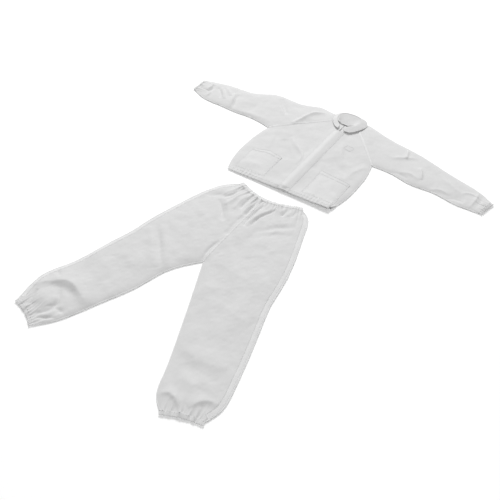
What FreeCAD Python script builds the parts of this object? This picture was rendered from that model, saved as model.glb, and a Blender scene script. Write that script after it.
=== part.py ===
import FreeCAD, Part
import math
import os
from FreeCAD import Vector

# Two-piece beekeeping suit, laid flat on its back: a zipped raglan jacket above a pair of trousers.
# +X is towards the wearer's left hand, +Y towards the collar, +Z up from the surface.
# The origin is on that surface, under the middle of the laid-out suit. Lengths are in millimetres.

# Cloth and how high the empty garments stand
CLOTH = 1.2
JACKET_LOFT = 16.0
TROUSERS_LOFT = 18.0
JOINT_GAP = 1.0
TRIM = 0.8
SEAM_WIDTH = 10.0

# Elastic casings: skin of cloth each side of a flat elastic, with room for it to move
CASING_WALL = 3.0
CASING_SKIN = 0.8
ELASTIC_ROOM = 0.15
HEM_CASING = 18.0
CUFF_CASING = 14.0
ANKLE_CASING = 18.0
WAIST_CASING = 22.0

# Jacket body
BODY_X = -5.0
HEM_Y = 238.0
CHEST_HALF = 300.0
HEM_DRAWN_IN = 38.0
HEM_PAST_SEAM = 2.0
ARMPIT_DRAWN_IN = 18.0
ARMPIT_RISE = 372.0
NECK_OVER_ARMPIT = 222.0
TOP_OVER_NECK = 54.0

# Neck and collar
FRONT_X = 28.0
NECK_HALF = 52.0
NECK_DEPTH = 42.0
RAGLAN_TURN = 15.0
STAND_HEIGHT = 27.0
FALL_DROP = 12.0
COLLAR_CLOTH = 2.0
FALL_WIDTH = 36.0
FALL_END_RISE = 4.0
LEAF_CLEARANCE = 1.0
LEAF_SLOPE = 28.0
LEAF_FACING = -28.9
# leaf outline: place along the fold from the back, and distance out from the fold
LEAF_FOLD = (-42.0, 60.0)
LEAF_EDGE = ((-38.0, 28.0), (0.0, 40.0), (45.0, 38.0), (78.0, 14.0), (74.0, 2.0))

# Front closure
ZIP_HALF_GAP = 6.0
ZIP_OVER_CASING = 6.0
ZIP_UNDER_NECK = 52.0
TAPE_HALF = 16.0
COIL_HALF = 3.2
COIL_SLOT = 0.8
COIL_HEIGHT = 2.2
SLIDER_CLEARANCE = 0.4
SLIDER_LENGTH = 11.0
SLIDER_PLATE = 1.4
SLIDER_SIDE = 1.8
SLIDER_UNDER_STOP = 6.0
SLIDER_BLADE = 4.0
BRIDGE_HALF = 3.8
BRIDGE_LEG = 1.2
BRIDGE_WIDE = 2.0
BRIDGE_THICK = 0.9
STOP_LENGTH = 4.0
STOP_PAST_COIL = 1.0
TAB_LENGTH = 22.0
TAB_WIDTH = 8.0
TAB_THICK = 1.4
TAB_WINDOW = 7.0
TAB_WINDOW_HALF = 2.0
FLAP_LEFT = 28.0
FLAP_RIGHT = 25.0
FLAP_OVER_HEM = 2.0
FLAP_UNDER_ZIP_TOP = 14.0
FLAP_ROOM = 6.2

# Patch pockets and the chest patch
POCKET_WIDTH = 155.0
POCKET_HEIGHT = 155.0
POCKET_RISE = 34.0
POCKET_ROOM = 5.4
POCKET_HEM = 16.0
LEFT_POCKET_INSET = 33.0
RIGHT_POCKET_INSET = 57.0
PATCH_SIZE = (38.0, 32.0)
PATCH_FROM_FRONT = 104.0
PATCH_UNDER_NECK = 174.0
PATCH_TURN = -10.0

# Sleeves. Each sleeve's own line starts beside the armpit, that far above it, and runs at its heading.
# Its shape gives the widths above and below that line by share of the length. A shoulder's points are the
# distance out from the neck's middle and the height over the armpit.
SLEEVE_LENGTH = 518.0
FOLD_OUTSIDE_CHEST = 7.0
SHOULDER_CUT_FOR = 307.0
LEFT_SLEEVE_OVER_ARMPIT = 113.0
LEFT_SLEEVE_HEADING = -13.7
LEFT_SLEEVE_SHAPE = (
    (0.2, 98, 104), (0.4, 90, 102), (0.6, 80, 76), (0.8, 75, 71), (0.94, 60, 54), (1.0, 47, 46)
)
LEFT_SHOULDER = ((77, 279), (196, 241))
RIGHT_SLEEVE_OVER_ARMPIT = 137.0
RIGHT_SLEEVE_HEADING = -178.6
RIGHT_SLEEVE_CREASED_BY = 26.0
RIGHT_SLEEVE_SHAPE = (
    (0.2, 127, 116), (0.4, 84, 114), (0.6, 80, 104), (0.8, 75, 95), (0.94, 62, 70), (1.0, 54, 53)
)
RIGHT_SHOULDER = ((122, 276), (188, 284), (263, 262))

# Trousers. The hips give the half width by share of the rise, which is the drop from waist to fold line.
# The legs are shaped as the sleeves are, with the outer width first.
TROUSERS_X = -5.0
WAIST_GAP = 43.0
WAIST_DIP = 41.0
WAIST_LEFT = 165.0
WAIST_RIGHT = 144.0
RISE = 501.0
CROTCH_OVER_FOLD = 13.0
LEG_LENGTH = 596.0
LEFT_HIP = ((0.07, 200), (0.24, 250), (0.56, 300), (0.89, 335))
LEFT_LEG_OUT = 173.0
LEFT_LEG_HEADING = -71.8
LEFT_LEG_SHAPE = (
    (0.1, 161, 150), (0.32, 149, 137), (0.6, 138, 118), (0.78, 130, 106), (0.92, 113, 94), (1.0, 78, 76)
)
RIGHT_HIP = ((0.07, 175), (0.24, 241), (0.53, 292), (0.89, 339))
RIGHT_LEG_OUT = 179.0
RIGHT_LEG_HEADING = -111.6
RIGHT_LEG_CREASED_BY = 6.0
RIGHT_LEG_SHAPE = (
    (0.1, 158, 134), (0.32, 145, 136), (0.6, 130, 126), (0.78, 134, 117), (0.92, 104, 98), (1.0, 76, 76)
)
ANKLE_BOW = 6.0

# Places worked out from the sizes above
HEM_HALF = CHEST_HALF - HEM_DRAWN_IN
ARMPIT_HALF = CHEST_HALF - ARMPIT_DRAWN_IN
FOLD_HALF = CHEST_HALF + FOLD_OUTSIDE_CHEST
ARMPIT_Y = HEM_Y + ARMPIT_RISE
NECK_Y = ARMPIT_Y + NECK_OVER_ARMPIT
TOP_Y = NECK_Y + TOP_OVER_NECK
FRONT_UNDER = JACKET_LOFT - CLOTH
STAND_TOP = JACKET_LOFT + STAND_HEIGHT
WAIST_Y = HEM_Y - WAIST_GAP
LEG_FOLD_Y = WAIST_Y - RISE
WAIST_LINE = (
    (TROUSERS_X - WAIST_RIGHT, WAIST_Y),
    (TROUSERS_X, WAIST_Y - WAIST_DIP),
    (TROUSERS_X + WAIST_LEFT, WAIST_Y),
)
FAR = 3000.0


def line(points):
    """One edge through the points: straight for two of them, a smooth curve for more."""
    vectors = [Vector(x, y, 0) for x, y in points]
    if len(vectors) == 2:
        return Part.LineSegment(*vectors).toShape()
    curve = Part.BSplineCurve()
    curve.interpolate(vectors)
    return curve.toShape()


def plate(runs, z, thickness):
    """Flat piece bounded by runs of points, each run starting where the last one ended."""
    edges = []
    for run, following in zip(runs, runs[1:] + runs[:1]):
        edges.append(line(run))
        if math.dist(run[-1], following[0]) > 1e-6:
            edges.append(line([run[-1], following[0]]))
    face = Part.Face(Part.Wire(edges))
    face.translate(Vector(0, 0, z))
    return face.extrude(Vector(0, 0, thickness))


def box(x0, x1, y0, y1, z0, z1):
    """Block between two corners."""
    return Part.makeBox(x1 - x0, y1 - y0, z1 - z0, Vector(x0, y0, z0))


def headings(points):
    """Unit direction of travel at each point of a run."""
    result = []
    for i in range(len(points)):
        before = points[max(i - 1, 0)]
        after = points[min(i + 1, len(points) - 1)]
        length = math.dist(before, after)
        result.append(((after[0] - before[0]) / length, (after[1] - before[1]) / length))
    return result


def shifted(points, distance):
    """The run moved to its left by a distance."""
    return [(x - v * distance, y + u * distance) for (x, y), (u, v) in zip(points, headings(points))]


def trimmed(points, length):
    """The run with both ends drawn in by a length."""
    ends = headings(points)
    first = (points[0][0] + ends[0][0] * length, points[0][1] + ends[0][1] * length)
    last = (points[-1][0] - ends[-1][0] * length, points[-1][1] - ends[-1][1] * length)
    return [first, *points[1:-1], last]


def ribbon(points, near, far, z0, z1):
    """Solid strip that follows a run, between two distances to its left."""
    return plate([shifted(points, near), shifted(points, far)[::-1]], z0, z1 - z0)


def loop(points, near, far, loft, outside, inside):
    """Flat band round an opening, between two depths inside the loft: its outer face and its inner face."""
    outer = ribbon(trimmed(points, outside), near, far, outside, loft - outside)
    hollow = ribbon(trimmed(points, inside), near - 1, far + 1, inside, loft - inside)
    return outer.cut(hollow)


def casing(points, width, loft):
    """Cloth channel round an opening and the flat elastic that runs inside it."""
    channel = loop(points, 0, width, loft, 0, CASING_WALL)
    room = loop(points, CASING_SKIN, width - CASING_SKIN, loft, CASING_SKIN, CASING_WALL - CASING_SKIN)
    gap = CASING_SKIN + ELASTIC_ROOM
    elastic = loop(points, gap, width - gap, loft, gap, CASING_WALL - gap)
    return channel.cut(room), elastic


def limb(root, heading, length, shape, side):
    """The two long edges of a sleeve or leg: outer one on the given side of its line, then the inner one."""
    u = (math.cos(math.radians(heading)), math.sin(math.radians(heading)))
    n = (-u[1] * side, u[0] * side)
    outer = []
    inner = []
    for share, out_width, in_width in shape:
        x = root[0] + u[0] * share * length
        y = root[1] + u[1] * share * length
        outer.append((x + n[0] * out_width, y + n[1] * out_width))
        inner.append((x - n[0] * in_width, y - n[1] * in_width))
    return outer, inner


def neck_arc(start, end, grow=0.0):
    """Points round the neck opening from one angle to another, in degrees from +X."""
    steps = max(2, round(abs(end - start) / 15))
    angles = [math.radians(start + (end - start) * i / steps) for i in range(steps + 1)]
    half, depth = NECK_HALF + grow, NECK_DEPTH + grow
    return [(FRONT_X + half * math.cos(a), NECK_Y + depth * math.sin(a)) for a in angles]


def side_run(side):
    """Side seam of the jacket body, from the hem to the armpit."""
    swell = CHEST_HALF - HEM_HALF
    halves = (
        (HEM_HALF, 0.0),
        (HEM_HALF + 0.65 * swell, 0.19),
        (CHEST_HALF, 0.54),
        (CHEST_HALF - 3.0, 0.78),
        (ARMPIT_HALF, 1.0),
    )
    return [(BODY_X + side * half, HEM_Y + share * ARMPIT_RISE) for half, share in halves]


def sided(solid, axis, low, high):
    """The part of a solid between two places along X (0) or Y (1)."""
    bounds = [-FAR, FAR, -FAR, FAR]
    bounds[2 * axis] = low
    bounds[2 * axis + 1] = high
    return solid.common(box(*bounds, -FAR, FAR))


def body_panels(nodes):
    """Back panel, the two fronts and the side seams between them."""
    left, right = side_run(1), side_run(-1)
    neck_left, neck_right = RAGLAN_TURN, 180 - RAGLAN_TURN
    back = plate([left, neck_arc(neck_left, 90), neck_arc(90, neck_right), right[::-1]], 0, CLOTH)
    fronts = plate([left, neck_arc(neck_left, neck_right - 360), right[::-1]], FRONT_UNDER, CLOTH)
    above_hem = HEM_Y + HEM_CASING
    nodes["jacket_back_panel"] = sided(back, 1, above_hem, FAR)
    fronts = sided(fronts, 1, above_hem, FAR)
    nodes["left_front_panel"] = sided(fronts, 0, FRONT_X + ZIP_HALF_GAP, FAR)
    nodes["right_front_panel"] = sided(fronts, 0, -FAR, FRONT_X - ZIP_HALF_GAP)
    for name, run, inward in (("left_side_seam", left, CLOTH), ("right_side_seam", right, -CLOTH)):
        nodes[name] = sided(ribbon(run, 0, inward, CLOTH, FRONT_UNDER), 1, above_hem, FAR)
    hem_half = HEM_HALF + HEM_PAST_SEAM
    hem = [(BODY_X - hem_half, HEM_Y), (BODY_X + hem_half, HEM_Y)]
    channel, elastic = casing(hem, HEM_CASING, JACKET_LOFT)
    slot = box(FRONT_X - ZIP_HALF_GAP, FRONT_X + ZIP_HALF_GAP, -FAR, FAR, JACKET_LOFT / 2, FAR)
    nodes["hem_casing"] = channel.cut(slot)
    nodes["hem_elastic"] = elastic.cut(slot)


def sleeve(nodes, word, side, shoulder, over_armpit, heading, length, shape):
    """A raglan sleeve: shoulder half on the body, arm half that folds, seams, cuff casing and elastic."""
    neck_turn = RAGLAN_TURN if side > 0 else 180 - RAGLAN_TURN
    armpit = (BODY_X + side * ARMPIT_HALF, ARMPIT_Y)
    fold = BODY_X + side * FOLD_HALF
    upper, lower = limb((fold, ARMPIT_Y + over_armpit), heading, length, shape, side)
    stretch = FOLD_HALF / SHOULDER_CUT_FOR
    crest = [(FRONT_X + side * out * stretch, ARMPIT_Y + up) for out, up in shoulder]
    over = [(FRONT_X, TOP_Y), *crest, *upper]
    under = [armpit, *lower]
    outline = [neck_arc(neck_turn, 90), over, under[::-1]]
    layers = {
        "front": plate(outline, FRONT_UNDER, CLOTH),
        "back": plate(outline, 0, CLOTH),
    }
    walls = [
        ribbon(over, 0, -side * CLOTH, CLOTH, FRONT_UNDER),
        ribbon(under, 0, side * CLOTH, CLOTH, FRONT_UNDER),
    ]
    half = JOINT_GAP / 2
    near = (-FAR, fold - half) if side > 0 else (fold + half, FAR)
    far = (fold + half, FAR) if side > 0 else (-FAR, fold - half)
    for layer, solid in layers.items():
        nodes[f"{word}_shoulder_{layer}"] = sided(solid, 0, *near)
        nodes[f"{word}_sleeve_{layer}"] = sided(solid, 0, *far)
    nodes[f"{word}_shoulder_seam"] = Part.makeCompound([sided(wall, 0, *near) for wall in walls])
    nodes[f"{word}_sleeve_seams"] = Part.makeCompound([sided(wall, 0, *far) for wall in walls])
    cuff = [upper[-1], lower[-1]][::side]
    nodes[f"{word}_cuff_casing"], nodes[f"{word}_cuff_elastic"] = casing(cuff, CUFF_CASING, JACKET_LOFT)
    raglan = [armpit, neck_arc(neck_turn, 90)[0]]
    trim = ribbon(raglan, -SEAM_WIDTH / 2, SEAM_WIDTH / 2, JACKET_LOFT, JACKET_LOFT + TRIM)
    nodes[f"{word}_raglan_seam"] = trim.cut(plate([neck_arc(0, 360, COLLAR_CLOTH)], 0, FAR))


def collar_ring(near, far, z0, z1):
    """Wall of the neck's shape between two distances outside the neck opening."""
    solid = plate([neck_arc(0, 360, far)], z0, z1 - z0)
    return solid.cut(plate([neck_arc(0, 360, near)], z0 - 1, z1 - z0 + 2))


def collar(nodes):
    """Collar stand, the turned-down fall behind the neck and the two leaves that fold at its front."""
    ring = collar_ring(0, COLLAR_CLOTH, JACKET_LOFT, STAND_TOP)
    opening = box(FRONT_X - ZIP_HALF_GAP, FRONT_X + ZIP_HALF_GAP, -FAR, NECK_Y, 0, FAR)
    nodes["collar_stand"] = ring.cut(opening)
    outward = COLLAR_CLOTH + LEAF_CLEARANCE
    fall_z = STAND_TOP - FALL_DROP
    fall = collar_ring(COLLAR_CLOTH, outward + FALL_WIDTH, fall_z, fall_z + COLLAR_CLOTH)
    nodes["collar_fall_back"] = sided(fall, 1, NECK_Y + NECK_DEPTH / 2 + FALL_END_RISE, FAR)
    for word, side in (("left", 1), ("right", -1)):
        nodes[f"{word}_collar_leaf"] = collar_leaf(side, outward)


def collar_leaf(side, outward):
    """One front leaf: a flat outline built along its fold line, sloped down and set beside the stand."""
    turn = math.radians(LEAF_FACING)
    reach = math.hypot(NECK_HALF * math.cos(turn), NECK_DEPTH * math.sin(turn)) + outward
    outline = [(along, 0.0) for along in LEAF_FOLD[::-1]] + list(LEAF_EDGE)
    runs = [outline[:2], outline[1:4], outline[3:], [outline[-1], outline[0]]]
    leaf = plate(runs, -COLLAR_CLOTH, COLLAR_CLOTH)
    leaf.rotate(Vector(0, 0, 0), Vector(1, 0, 0), -LEAF_SLOPE)
    leaf.rotate(Vector(0, 0, 0), Vector(0, 0, 1), math.degrees(turn) - 90)
    leaf.translate(Vector(reach * math.cos(turn), reach * math.sin(turn), STAND_TOP))
    if side < 0:
        leaf = leaf.mirror(Vector(0, 0, 0), Vector(1, 0, 0))
    leaf.translate(Vector(FRONT_X, NECK_Y, 0))
    return leaf


def closure(nodes):
    """Zipper tapes, coils, stops, slider and pull tab under the placket flap."""
    bottom = HEM_Y + HEM_CASING + ZIP_OVER_CASING
    top = NECK_Y - NECK_DEPTH - ZIP_UNDER_NECK
    tape_z = FRONT_UNDER - TRIM
    coil_z = FRONT_UNDER - TRIM / 2 - COIL_HEIGHT / 2
    coil_top = coil_z + COIL_HEIGHT
    for word, side in (("left", 1), ("right", -1)):
        inner, edge, outer = (FRONT_X + side * d for d in (COIL_SLOT, COIL_HALF, TAPE_HALF))
        tape_x = sorted((edge, outer))
        coil_x = sorted((inner, edge))
        nodes[f"{word}_zipper_tape"] = box(*tape_x, bottom, top, tape_z, FRONT_UNDER)
        nodes[f"{word}_zipper_coil"] = box(*coil_x, bottom, top, coil_z, coil_top)
    stop_half = COIL_HALF + STOP_PAST_COIL
    stop_z = (coil_top, coil_top + TRIM)
    stop_low = box(FRONT_X - stop_half, FRONT_X + stop_half, bottom, bottom + STOP_LENGTH, *stop_z)
    stops_high = [
        box(FRONT_X + a, FRONT_X + b, top - STOP_LENGTH, top, *stop_z)
        for a, b in ((COIL_SLOT, stop_half), (-stop_half, -COIL_SLOT))
    ]
    nodes["zipper_bottom_stop"] = stop_low
    nodes["zipper_top_stops"] = Part.makeCompound(stops_high)
    slider_and_tab(nodes, top - STOP_LENGTH - SLIDER_LENGTH / 2 - SLIDER_UNDER_STOP, coil_z, coil_top)
    flap_z = JACKET_LOFT + FLAP_ROOM
    flap_ends = (HEM_Y + FLAP_OVER_HEM, top - FLAP_UNDER_ZIP_TOP)
    nodes["placket_flap"] = box(FRONT_X - FLAP_RIGHT, FRONT_X + FLAP_LEFT, *flap_ends, flap_z, flap_z + CLOTH)


def slider_and_tab(nodes, y, coil_z, coil_top):
    """Slider whose plates run above and below the coils, joined by a blade between them, and its pull tab."""
    half = COIL_HALF + SLIDER_CLEARANCE + SLIDER_SIDE
    y0, y1 = y - SLIDER_LENGTH / 2, y + SLIDER_LENGTH / 2
    under_top = coil_top + SLIDER_CLEARANCE
    over_bottom = coil_z - SLIDER_CLEARANCE
    upper = box(FRONT_X - half, FRONT_X + half, y0, y1, under_top, under_top + SLIDER_PLATE)
    lower = box(FRONT_X - half, FRONT_X + half, y0, y1, over_bottom - SLIDER_PLATE, over_bottom)
    blade_half = COIL_SLOT - SLIDER_CLEARANCE
    blade = box(FRONT_X - blade_half, FRONT_X + blade_half, y1 - SLIDER_BLADE, y1, over_bottom, under_top)
    deck = under_top + SLIDER_PLATE
    eye = TAB_THICK + 2 * SLIDER_CLEARANCE
    rib = BRIDGE_WIDE / 2
    rib_top = deck + eye + BRIDGE_THICK
    bridge = box(FRONT_X - rib, FRONT_X + rib, y - BRIDGE_HALF, y + BRIDGE_HALF, deck, rib_top)
    inside = BRIDGE_HALF - BRIDGE_LEG
    bridge = bridge.cut(box(FRONT_X - half, FRONT_X + half, y - inside, y + inside, deck, deck + eye))
    nodes["zipper_slider"] = upper.fuse([lower, blade, bridge]).removeSplitter()
    wide = TAB_WIDTH / 2
    tab_z = deck + SLIDER_CLEARANCE
    tab = box(FRONT_X - wide, FRONT_X + wide, y - TAB_LENGTH, y + TAB_THICK / 2, tab_z, tab_z + TAB_THICK)
    window_x = (FRONT_X - TAB_WINDOW_HALF, FRONT_X + TAB_WINDOW_HALF)
    window = box(*window_x, y - TAB_WINDOW, y - TAB_THICK / 2, deck, tab_z + 2 * TAB_THICK)
    nodes["zipper_pull_tab"] = tab.cut(window)


def pocket(nodes, word, x):
    """Patch pocket: a shallow cloth tray, closed on three sides, open towards the collar, with a sewn hem."""
    y0, y1 = HEM_Y + POCKET_RISE, HEM_Y + POCKET_RISE + POCKET_HEIGHT
    z0 = JACKET_LOFT
    z1 = JACKET_LOFT + POCKET_ROOM
    tray = box(x, x + POCKET_WIDTH, y0, y1, z0, z1 + CLOTH)
    hollow = box(x + CLOTH, x + POCKET_WIDTH - CLOTH, y0 + CLOTH, y1 + 1, z0 - 1, z1)
    nodes[f"{word}_pocket"] = tray.cut(hollow)
    nodes[f"{word}_pocket_hem"] = box(x, x + POCKET_WIDTH, y1 - POCKET_HEM, y1, z1 + CLOTH, z1 + CLOTH + TRIM)


def chest_patch(nodes):
    """Small blank cloth patch on the left chest."""
    wide, tall = PATCH_SIZE
    patch = box(-wide / 2, wide / 2, -tall / 2, tall / 2, JACKET_LOFT, JACKET_LOFT + TRIM)
    patch.rotate(Vector(0, 0, 0), Vector(0, 0, 1), PATCH_TURN)
    patch.translate(Vector(FRONT_X + PATCH_FROM_FRONT, NECK_Y - PATCH_UNDER_NECK, 0))
    nodes["chest_patch"] = patch


def trousers(nodes):
    """Front and back of each leg, divided at the fold lines, with seams, waistband and ankle casings."""
    left_root = (TROUSERS_X + LEFT_LEG_OUT, LEG_FOLD_Y)
    right_root = (TROUSERS_X - RIGHT_LEG_OUT, LEG_FOLD_Y)
    left_out, left_in = limb(left_root, LEFT_LEG_HEADING, LEG_LENGTH, LEFT_LEG_SHAPE, 1)
    right_length = LEG_LENGTH - RIGHT_LEG_CREASED_BY
    right_out, right_in = limb(right_root, RIGHT_LEG_HEADING, right_length, RIGHT_LEG_SHAPE, -1)
    waist_low = shifted(WAIST_LINE, -WAIST_CASING)
    crotch = (TROUSERS_X, LEG_FOLD_Y + CROTCH_OVER_FOLD)
    ankles = {
        "left": ankle_line(left_out[-1], left_in[-1]),
        "right": ankle_line(right_in[-1], right_out[-1]),
    }
    left_hip = [(TROUSERS_X + half, WAIST_Y - share * RISE) for share, half in LEFT_HIP]
    right_hip = [(TROUSERS_X - half, WAIST_Y - share * RISE) for share, half in RIGHT_HIP]
    outer = {"left": [waist_low[-1], *left_hip, *left_out], "right": [waist_low[0], *right_hip, *right_out]}
    inner = {"left": [crotch, *left_in], "right": [crotch, *right_in]}
    outline = [
        waist_low,
        outer["left"],
        ankles["left"],
        inner["left"][::-1],
        inner["right"],
        ankles["right"],
        outer["right"][::-1],
    ]
    half = JOINT_GAP / 2
    for layer, z in (("front", TROUSERS_LOFT - CLOTH), ("back", 0)):
        whole = plate(outline, z, CLOTH)
        for word, low, high in (("left", TROUSERS_X, FAR), ("right", -FAR, TROUSERS_X)):
            side = sided(whole, 0, low, high)
            nodes[f"{word}_hip_{layer}"] = sided(side, 1, LEG_FOLD_Y + half, FAR)
            nodes[f"{word}_leg_{layer}"] = sided(side, 1, -FAR, LEG_FOLD_Y - half)
    hip_seams = []
    for word, inward in (("left", -CLOTH), ("right", CLOTH)):
        walls = [
            ribbon(outer[word], 0, inward, CLOTH, TROUSERS_LOFT - CLOTH),
            ribbon(inner[word], 0, -inward, CLOTH, TROUSERS_LOFT - CLOTH),
        ]
        hip_seams.append(sided(walls[0], 1, LEG_FOLD_Y + half, FAR))
        below = [sided(wall, 1, -FAR, LEG_FOLD_Y - half) for wall in walls]
        nodes[f"{word}_leg_seams"] = Part.makeCompound(below)
        channel, elastic = casing(ankles[word], ANKLE_CASING, TROUSERS_LOFT)
        nodes[f"{word}_ankle_casing"] = channel
        nodes[f"{word}_ankle_elastic"] = elastic
    nodes["hip_seams"] = Part.makeCompound(hip_seams)
    nodes["waistband"], nodes["waist_elastic"] = casing(WAIST_LINE[::-1], WAIST_CASING, TROUSERS_LOFT)


def ankle_line(start, end):
    """Ankle opening from one edge of the leg to the other, bowed a little down the leg."""
    middle = ((start[0] + end[0]) / 2, (start[1] + end[1]) / 2)
    length = math.dist(start, end)
    out = ((start[1] - end[1]) / length, (end[0] - start[0]) / length)
    return [start, (middle[0] + out[0] * ANKLE_BOW, middle[1] + out[1] * ANKLE_BOW), end]


def main():
    nodes = {}
    body_panels(nodes)
    sleeve(
        nodes, "left", 1, LEFT_SHOULDER, LEFT_SLEEVE_OVER_ARMPIT, LEFT_SLEEVE_HEADING,
        SLEEVE_LENGTH, LEFT_SLEEVE_SHAPE
    )
    sleeve(
        nodes, "right", -1, RIGHT_SHOULDER, RIGHT_SLEEVE_OVER_ARMPIT, RIGHT_SLEEVE_HEADING,
        SLEEVE_LENGTH - RIGHT_SLEEVE_CREASED_BY, RIGHT_SLEEVE_SHAPE
    )
    collar(nodes)
    closure(nodes)
    pocket(nodes, "left", BODY_X + CHEST_HALF - LEFT_POCKET_INSET - POCKET_WIDTH)
    pocket(nodes, "right", BODY_X - CHEST_HALF + RIGHT_POCKET_INSET)
    chest_patch(nodes)
    trousers(nodes)
    os.makedirs("parts", exist_ok=True)
    for name, shape in nodes.items():
        shape.exportStep(f"parts/{name}.step")
    print(len(nodes), "nodes written")


main()
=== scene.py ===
"""Two-piece beekeeping suit laid flat: zipped raglan jacket above trousers, in white cotton cloth.

Lengths are in metres, in the frame of the CAD model: +X towards the wearer's left hand, +Y towards the
collar and +Z up from the surface that the suit lies on.
"""
import logging
import math
from dataclasses import dataclass, field
from enum import Enum
from typing import Sequence

import bpy
import numpy as np
from mathutils import Matrix, Vector


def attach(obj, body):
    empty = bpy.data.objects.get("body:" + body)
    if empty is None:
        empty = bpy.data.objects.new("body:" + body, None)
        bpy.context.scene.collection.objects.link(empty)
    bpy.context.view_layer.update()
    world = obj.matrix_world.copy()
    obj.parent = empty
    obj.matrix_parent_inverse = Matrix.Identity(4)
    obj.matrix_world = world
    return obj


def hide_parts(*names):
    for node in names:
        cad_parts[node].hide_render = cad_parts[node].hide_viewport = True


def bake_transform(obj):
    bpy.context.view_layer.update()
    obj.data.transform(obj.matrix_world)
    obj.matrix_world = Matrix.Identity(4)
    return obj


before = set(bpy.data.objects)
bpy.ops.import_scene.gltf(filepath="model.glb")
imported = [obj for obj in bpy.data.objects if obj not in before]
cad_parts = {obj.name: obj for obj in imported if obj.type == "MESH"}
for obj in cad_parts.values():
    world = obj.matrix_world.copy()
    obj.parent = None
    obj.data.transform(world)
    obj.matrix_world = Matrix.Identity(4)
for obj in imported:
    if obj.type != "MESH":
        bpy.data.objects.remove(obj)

Array = np.ndarray
Point = tuple[float, float]
Path = Sequence[Point]

LOG = logging.getLogger("beekeeping_suit")
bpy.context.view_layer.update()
CLOTH = 0.0008


class Side(Enum):
    """The wearer's side that a piece belongs to."""

    LEFT = "left"
    RIGHT = "right"

    @property
    def sign(self) -> int:
        """Sign of X on this side."""
        return 1 if self is Side.LEFT else -1


class Held(Enum):
    """How a sheet of cloth is held."""

    LAID = "laid"
    GATHERED = "gathered"


# ---------------------------------------------------------------- finishes


def node(tree: bpy.types.NodeTree, kind: str, **inputs: object) -> bpy.types.Node:
    """Adds a shader node.

    Args:
        tree: Node tree that receives the node.
        kind: Blender's type name.
        inputs: Socket values by socket name, with underscores for spaces.
    Returns:
        The new node.
    """
    made = tree.nodes.new(kind)
    for name, value in inputs.items():
        made.inputs[name.replace("_", " ")].default_value = value
    return made


def new_material(name: str) -> tuple[bpy.types.Material, bpy.types.NodeTree, bpy.types.Node]:
    """Adds a material and gives it with its node tree and its shader."""
    material = bpy.data.materials.new(name)
    material.use_nodes = True
    return material, material.node_tree, material.node_tree.nodes["Principled BSDF"]


@dataclass(frozen=True)
class ClothFinish:
    """Matt woven cotton: plain weave, faint slubs and cloudy shade, fine creases."""

    name: str
    shade: float
    warmth: float = 0.0
    threads_per_metre: float = 900.0
    weave_depth: float = 0.12
    crease_depth: float = 0.25
    roughness: float = 0.88

    def material(self) -> bpy.types.Material:
        """Builds the material, or returns the one built before."""
        found = bpy.data.materials.get(self.name)
        if found:
            return found
        material, tree, shader = new_material(self.name)
        shader.inputs["Roughness"].default_value = self.roughness
        shader.inputs["Sheen Weight"].default_value = 0.25
        shader.inputs["Sheen Roughness"].default_value = 0.6
        shader.inputs["Specular IOR Level"].default_value = 0.2
        place = node(tree, "ShaderNodeUVMap")
        place.uv_map = "cut"
        clouds = node(tree, "ShaderNodeTexNoise", Scale=14.0, Detail=5.0, Roughness=0.6)
        slubs = node(tree, "ShaderNodeTexNoise", Scale=420.0, Detail=2.0, Roughness=0.5)
        stretch = node(tree, "ShaderNodeMapping", Scale=(1.0, 0.12, 1.0))
        tree.links.new(place.outputs["UV"], stretch.inputs["Vector"])
        tree.links.new(stretch.outputs["Vector"], slubs.inputs["Vector"])
        tree.links.new(place.outputs["UV"], clouds.inputs["Vector"])
        mixed = node(tree, "ShaderNodeMath")
        mixed.operation = "MULTIPLY_ADD"
        mixed.inputs[1].default_value = 0.35
        tree.links.new(slubs.outputs["Fac"], mixed.inputs[0])
        tree.links.new(clouds.outputs["Fac"], mixed.inputs[2])
        ramp = node(tree, "ShaderNodeValToRGB")
        tones = ((0.45, self.shade * 0.965), (0.9, min(self.shade * 1.03, 1.0)))
        for stop, (position, tone) in zip(ramp.color_ramp.elements, tones):
            stop.position = position
            stop.color = (tone * (1 + self.warmth), tone, tone * (1 - self.warmth), 1)
        tree.links.new(mixed.outputs[0], ramp.inputs["Fac"])
        tree.links.new(ramp.outputs["Color"], shader.inputs["Base Color"])
        warp, weft = (self.thread_bands(tree, place, way) for way in ("X", "Y"))
        weave = node(tree, "ShaderNodeMath")
        weave.operation = "MAXIMUM"
        tree.links.new(warp.outputs["Fac"], weave.inputs[0])
        tree.links.new(weft.outputs["Fac"], weave.inputs[1])
        creases = node(tree, "ShaderNodeTexNoise", Scale=70.0, Detail=4.0, Roughness=0.55, Distortion=0.6)
        tree.links.new(place.outputs["UV"], creases.inputs["Vector"])
        coarse = node(tree, "ShaderNodeBump", Strength=self.crease_depth, Distance=0.002)
        fine = node(tree, "ShaderNodeBump", Strength=self.weave_depth, Distance=0.0003)
        tree.links.new(creases.outputs["Fac"], coarse.inputs["Height"])
        tree.links.new(weave.outputs[0], fine.inputs["Height"])
        tree.links.new(coarse.outputs["Normal"], fine.inputs["Normal"])
        tree.links.new(fine.outputs["Normal"], shader.inputs["Normal"])
        return material

    def thread_bands(self, tree: bpy.types.NodeTree, place: bpy.types.Node, way: str) -> bpy.types.Node:
        """Bands of one set of threads.

        Args:
            tree: Node tree of the material.
            place: Node that gives the cloth's own coordinates.
            way: "X" for the warp or "Y" for the weft.
        Returns:
            The wave node.
        """
        bands = node(tree, "ShaderNodeTexWave", Scale=self.threads_per_metre / 3.2, Distortion=0.4)
        bands.bands_direction = way
        tree.links.new(place.outputs["UV"], bands.inputs["Vector"])
        return bands


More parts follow.
